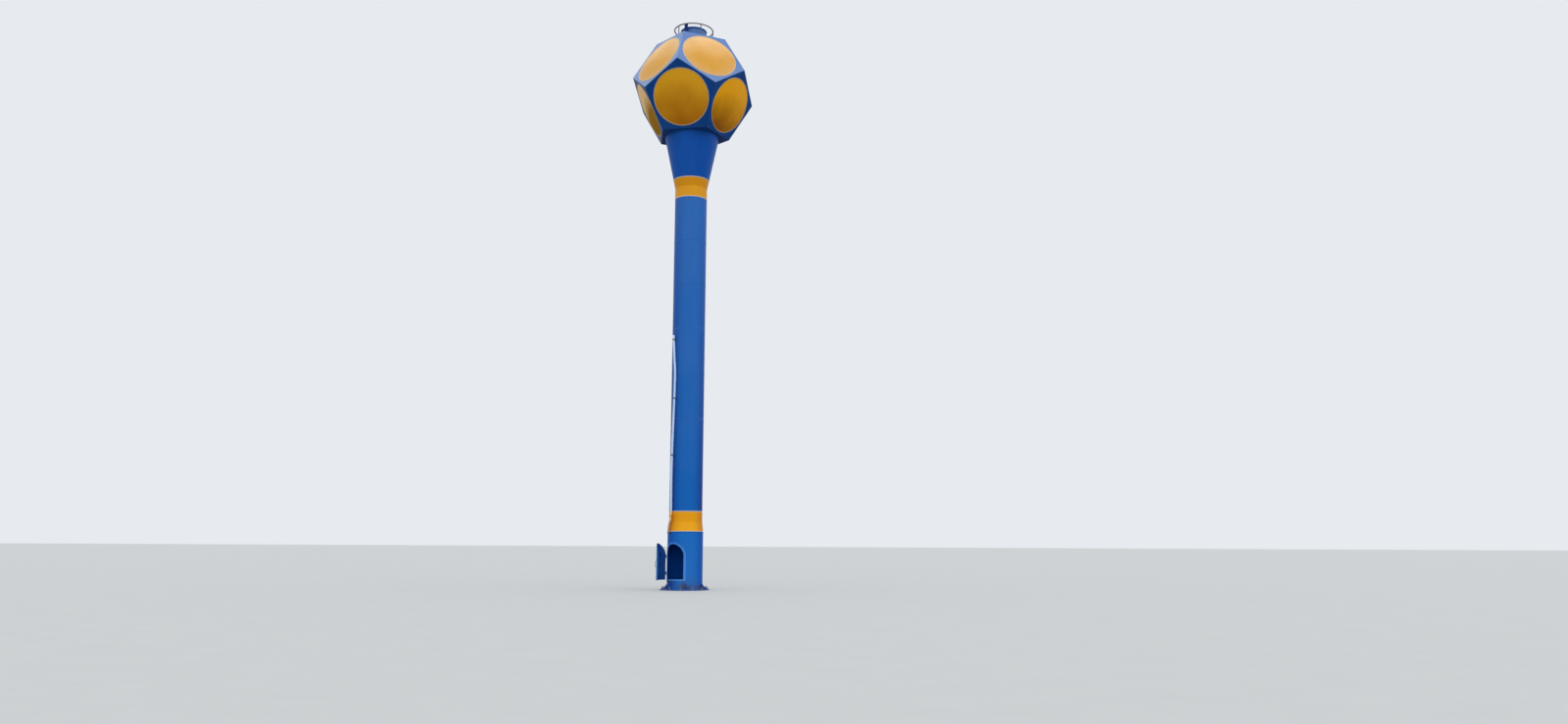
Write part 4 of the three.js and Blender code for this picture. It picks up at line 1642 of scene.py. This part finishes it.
@dataclass
class SidePipe:
    """Pale pipe that runs up the shaft in a slight bow, and its four clips.

    Each point of its route is a height, an azimuth and a distance from the axis.
    """

    radius: float = 0.028
    wall: float = 0.003
    from_axis: float = 0.480
    shaft_radius: float = SHAFT_RADIUS
    route: tuple[Triple, ...] = (
        (1.440, -46.6, 0.510), (1.560, -45.8, 0.504), (1.690, -45.0, 0.490), (1.800, -41.6, 0.481),
        (1.950, -39.2, 0.480), (3.090, -39.6, 0.480), (4.170, -36.0, 0.480), (5.100, -31.9, 0.480),
        (5.700, -31.2, 0.480), (6.100, -35.2, 0.480), (6.700, -42.0, 0.480),
    )
    clip_heights: tuple[float, ...] = (1.900, 3.500, 5.000, 6.580)
    clip_size: float = 0.040
    clip_band: float = 0.006
    clip_edge: float = 0.001
    ear_reach: float = 0.010
    ear_half: float = 0.003
    overpainted: float = LOWER_BAND_TOP

    def build(self) -> None:
        """Builds the pipe and its clips."""
        path = self.centre_line()
        options = {"sides": 24, "ripple": 0.0, "step": 0.06, "caps": False}
        pipe = lay_tube("side_pipe_round", [path], self.radius, PALE_PIPE, **options)
        wall = pipe.modifiers.new("pipe_wall", "SOLIDIFY")
        wall.thickness = self.wall
        wall.offset = -1.0
        hang(pipe, Slot.PIPE, "side_pipe")
        for number, height in enumerate(self.clip_heights, start=1):
            self._clip(f"pipe_clip_{number}", path, height)

    def centre_line(self) -> list[Vector]:
        """Returns the pipe's centre line: a centripetal spline through the points of the route.

        Returns:
            Closely spaced points from the lower end to the upper one.
        """
        points = [at_azimuth(from_axis, azimuth, height) for height, azimuth, from_axis in self.route]
        points = [points[0] * 2 - points[1], *points, points[-1] * 2 - points[-2]]
        line = []
        for p0, p1, p2, p3 in zip(points, points[1:], points[2:], points[3:]):
            d0, d1, d2 = (math.sqrt((b - a).length) for a, b in ((p0, p1), (p1, p2), (p2, p3)))
            leaving = ((p1 - p0) / d0 - (p2 - p0) / (d0 + d1) + (p2 - p1) / d1) * d1
            arriving = ((p2 - p1) / d1 - (p3 - p1) / (d1 + d2) + (p3 - p2) / d2) * d1
            second = (p2 - p1) * 3 - leaving * 2 - arriving
            third = (p1 - p2) * 2 + leaving + arriving
            shares = spread(0.0, 1.0, 12)[:-1]
            line += [p1 + leaving * t + second * t**2 + third * t**3 for t in shares]
        return [*line, points[-2]]

    def _clip(self, node: str, path: Sequence[Vector], height: float) -> None:
        """Makes one clip: a strap round the pipe on a foot that stands on the shaft.

        Args:
            node: The CAD node that it stands for.
            path: The pipe's centre line.
            height: Height of the clip.
        """
        after = next(k for k, point in enumerate(path) if point.z > height)
        low, high = path[after - 1], path[after]
        middle = low.lerp(high, (height - low.z) / (high.z - low.z))
        lean = (high - low).to_track_quat("Z", "Y").to_matrix().to_4x4()
        half, edge = self.clip_size / 2, self.clip_edge
        inner, outer = self.radius + 0.0003, self.radius + self.clip_band
        blank = Blank()
        strap = [(inner, -half), (outer - edge, -half), (outer, edge - half), (outer, half - edge)]
        strap += [(outer - edge, half), (inner, half)]
        blank.turn(strap, Matrix.Translation(middle) @ lean, steps=32)
        turned = spun(math.degrees(math.atan2(middle.x, -middle.y)))
        near, far = self.shaft_radius - 0.002, self.from_axis - self.radius - 0.001
        foot = ((-half, near), (half, near), (half * 0.7, far), (-half * 0.7, far))
        blank.prism([Vector((x, -y, 0.0)) for x, y in foot], height - half, height + half, turned)
        wide, thick = self.ear_reach, self.ear_half
        for side in (-1, 1):
            ear = Vector((side * (outer + 0.007), -self.from_axis, height))
            plate = ((-wide, -thick), (wide, -thick), (wide, thick), (-wide, thick))
            corners = [Vector((ear.x + x, ear.y + y, 0.0)) for x, y in plate]
            blank.prism(corners, height - half, height + half, turned)
            place = Matrix.Translation(ear + Vector((0.0, -thick, 0.0)))
            bolt(blank, turned @ place @ facing(0.0), size=0.007, stud=0.010)
        painted_over = height < self.overpainted
        finish, slot = (BAND_YELLOW, Slot.YELLOW) if painted_over else (DARK_STEEL, Slot.STEEL)
        hang(make_piece(f"{node}_strap", blank, finish), slot, node)


@dataclass
class Studio:
    """Pale floor, soft light from an even dome, and the camera of the photograph."""

    camera_place: Triple = (8.018, -29.991, 1.231)
    heading: Pair = (-0.17720, 0.98417)
    pitch: float = 8.828626
    roll: float = -0.230765
    focal_pixels: float = 1186.3721
    image_width: float = 1600.0
    sensor: float = 36.0
    far_clip: float = 2000.0
    horizon_light: float = 1.02
    zenith_light: float = 1.30
    sky_tint: Colour = (0.97, 1.0, 1.04)
    bright_azimuth: float = 32.0
    bright_gain: float = 0.30
    ground_light: Colour = (0.25, 0.27, 0.25)
    backdrop: Colour = (0.80, 0.83, 0.87)
    floor_colour: Colour = (0.50, 0.50, 0.49)
    floor_reach: float = 300.0

    def build(self) -> None:
        """Builds the stage, the light and the camera."""
        self._floor()
        self._dome()
        self._camera()
        bpy.context.scene.view_settings.view_transform = "Standard"

    def _floor(self) -> None:
        """Lays the floor, which throws no light back at the tower."""
        mesh = bpy.data.meshes.new("floor")
        far = self.floor_reach
        corners = [(-far, -far, 0.0), (far, -far, 0.0), (far, far, 0.0), (-far, far, 0.0)]
        mesh.from_pydata(corners, [], [(0, 1, 2, 3)])
        material = bpy.data.materials.new("pale_floor")
        material.use_nodes = True
        bench = NodeBench(material.node_tree)
        grain = bench.noise((1.5, 1.5, 1.5), detail=2.0)
        colour = bench.tinted(bench.mix(0.0, self.floor_colour, self.floor_colour), 0.97 + grain * 0.06)
        shader = bench.node("ShaderNodeBsdfPrincipled", inputs={"Base Color": colour, "Roughness": 0.9})
        bench.node("ShaderNodeOutputMaterial", inputs={"Surface": shader})
        mesh.materials.append(material)
        floor = placed("floor", mesh)
        floor.visible_diffuse = False
        floor.visible_glossy = False

    def _dome(self) -> None:
        """Lights the scene with a dome that is brightest overhead and dark below the horizon."""
        world = bpy.data.worlds.new("soft_dome")
        world.use_nodes = True
        bpy.context.scene.world = world
        bench = NodeBench(world.node_tree)
        direction = bench.node("ShaderNodeTexCoord", output="Generated")
        up = bench.node("ShaderNodeSeparateXYZ", inputs={0: direction}, output="Z")
        lights = (self.horizon_light, self.zenith_light)
        sky_low, sky_high = (tuple(light * c for c in self.sky_tint) for light in lights)
        sky = bench.mix(up.ramp(0.0, 1.0), sky_low, sky_high)
        bright_side = bench.vector_value("DOT_PRODUCT", direction, at_azimuth(1.0, self.bright_azimuth))
        light = bench.mix(up.ramp(-0.05, 0.05), self.ground_light, sky)
        light = bench.tinted(light, 1.0 + bright_side * self.bright_gain)
        seen = bench.node("ShaderNodeLightPath", output="Is Camera Ray")
        colour = bench.mix(seen, light, self.backdrop)
        shader = bench.node("ShaderNodeBackground", inputs={"Color": colour, "Strength": 1.0})
        bench.node("ShaderNodeOutputWorld", inputs={"Surface": shader})

    def _camera(self) -> None:
        """Places the camera where the photograph was taken."""
        pitch, roll = math.radians(self.pitch), math.radians(self.roll)
        ahead = Vector((*self.heading, 0.0)).normalized()
        right = Vector((ahead.y, -ahead.x, 0.0))
        forward = ahead * math.cos(pitch) + Vector((0.0, 0.0, math.sin(pitch)))
        up = right.cross(forward)
        side = right * math.cos(roll) - up * math.sin(roll)
        top = right * math.sin(roll) + up * math.cos(roll)
        camera = bpy.data.cameras.new("camera")
        camera.sensor_fit = "HORIZONTAL"
        camera.sensor_width = self.sensor
        camera.lens = self.sensor * self.focal_pixels / self.image_width
        camera.clip_end = self.far_clip
        holder = placed("camera", camera)
        turned = Matrix((side, top, -forward)).transposed().to_4x4()
        holder.matrix_world = Matrix.Translation(self.camera_place) @ turned
        bpy.context.scene.camera = holder


def main() -> None:
    """Builds the stage and every sub-assembly in order."""
    logging.basicConfig(level=logging.INFO, format="%(message)s")
    for assembly in (Studio(), BASE, DOOR, RiserShaft(), Tank(), Head(), SidePipe()):
        LOG.info("%s", type(assembly).__name__)
        assembly.build()


if __name__ == "__main__":
    main()
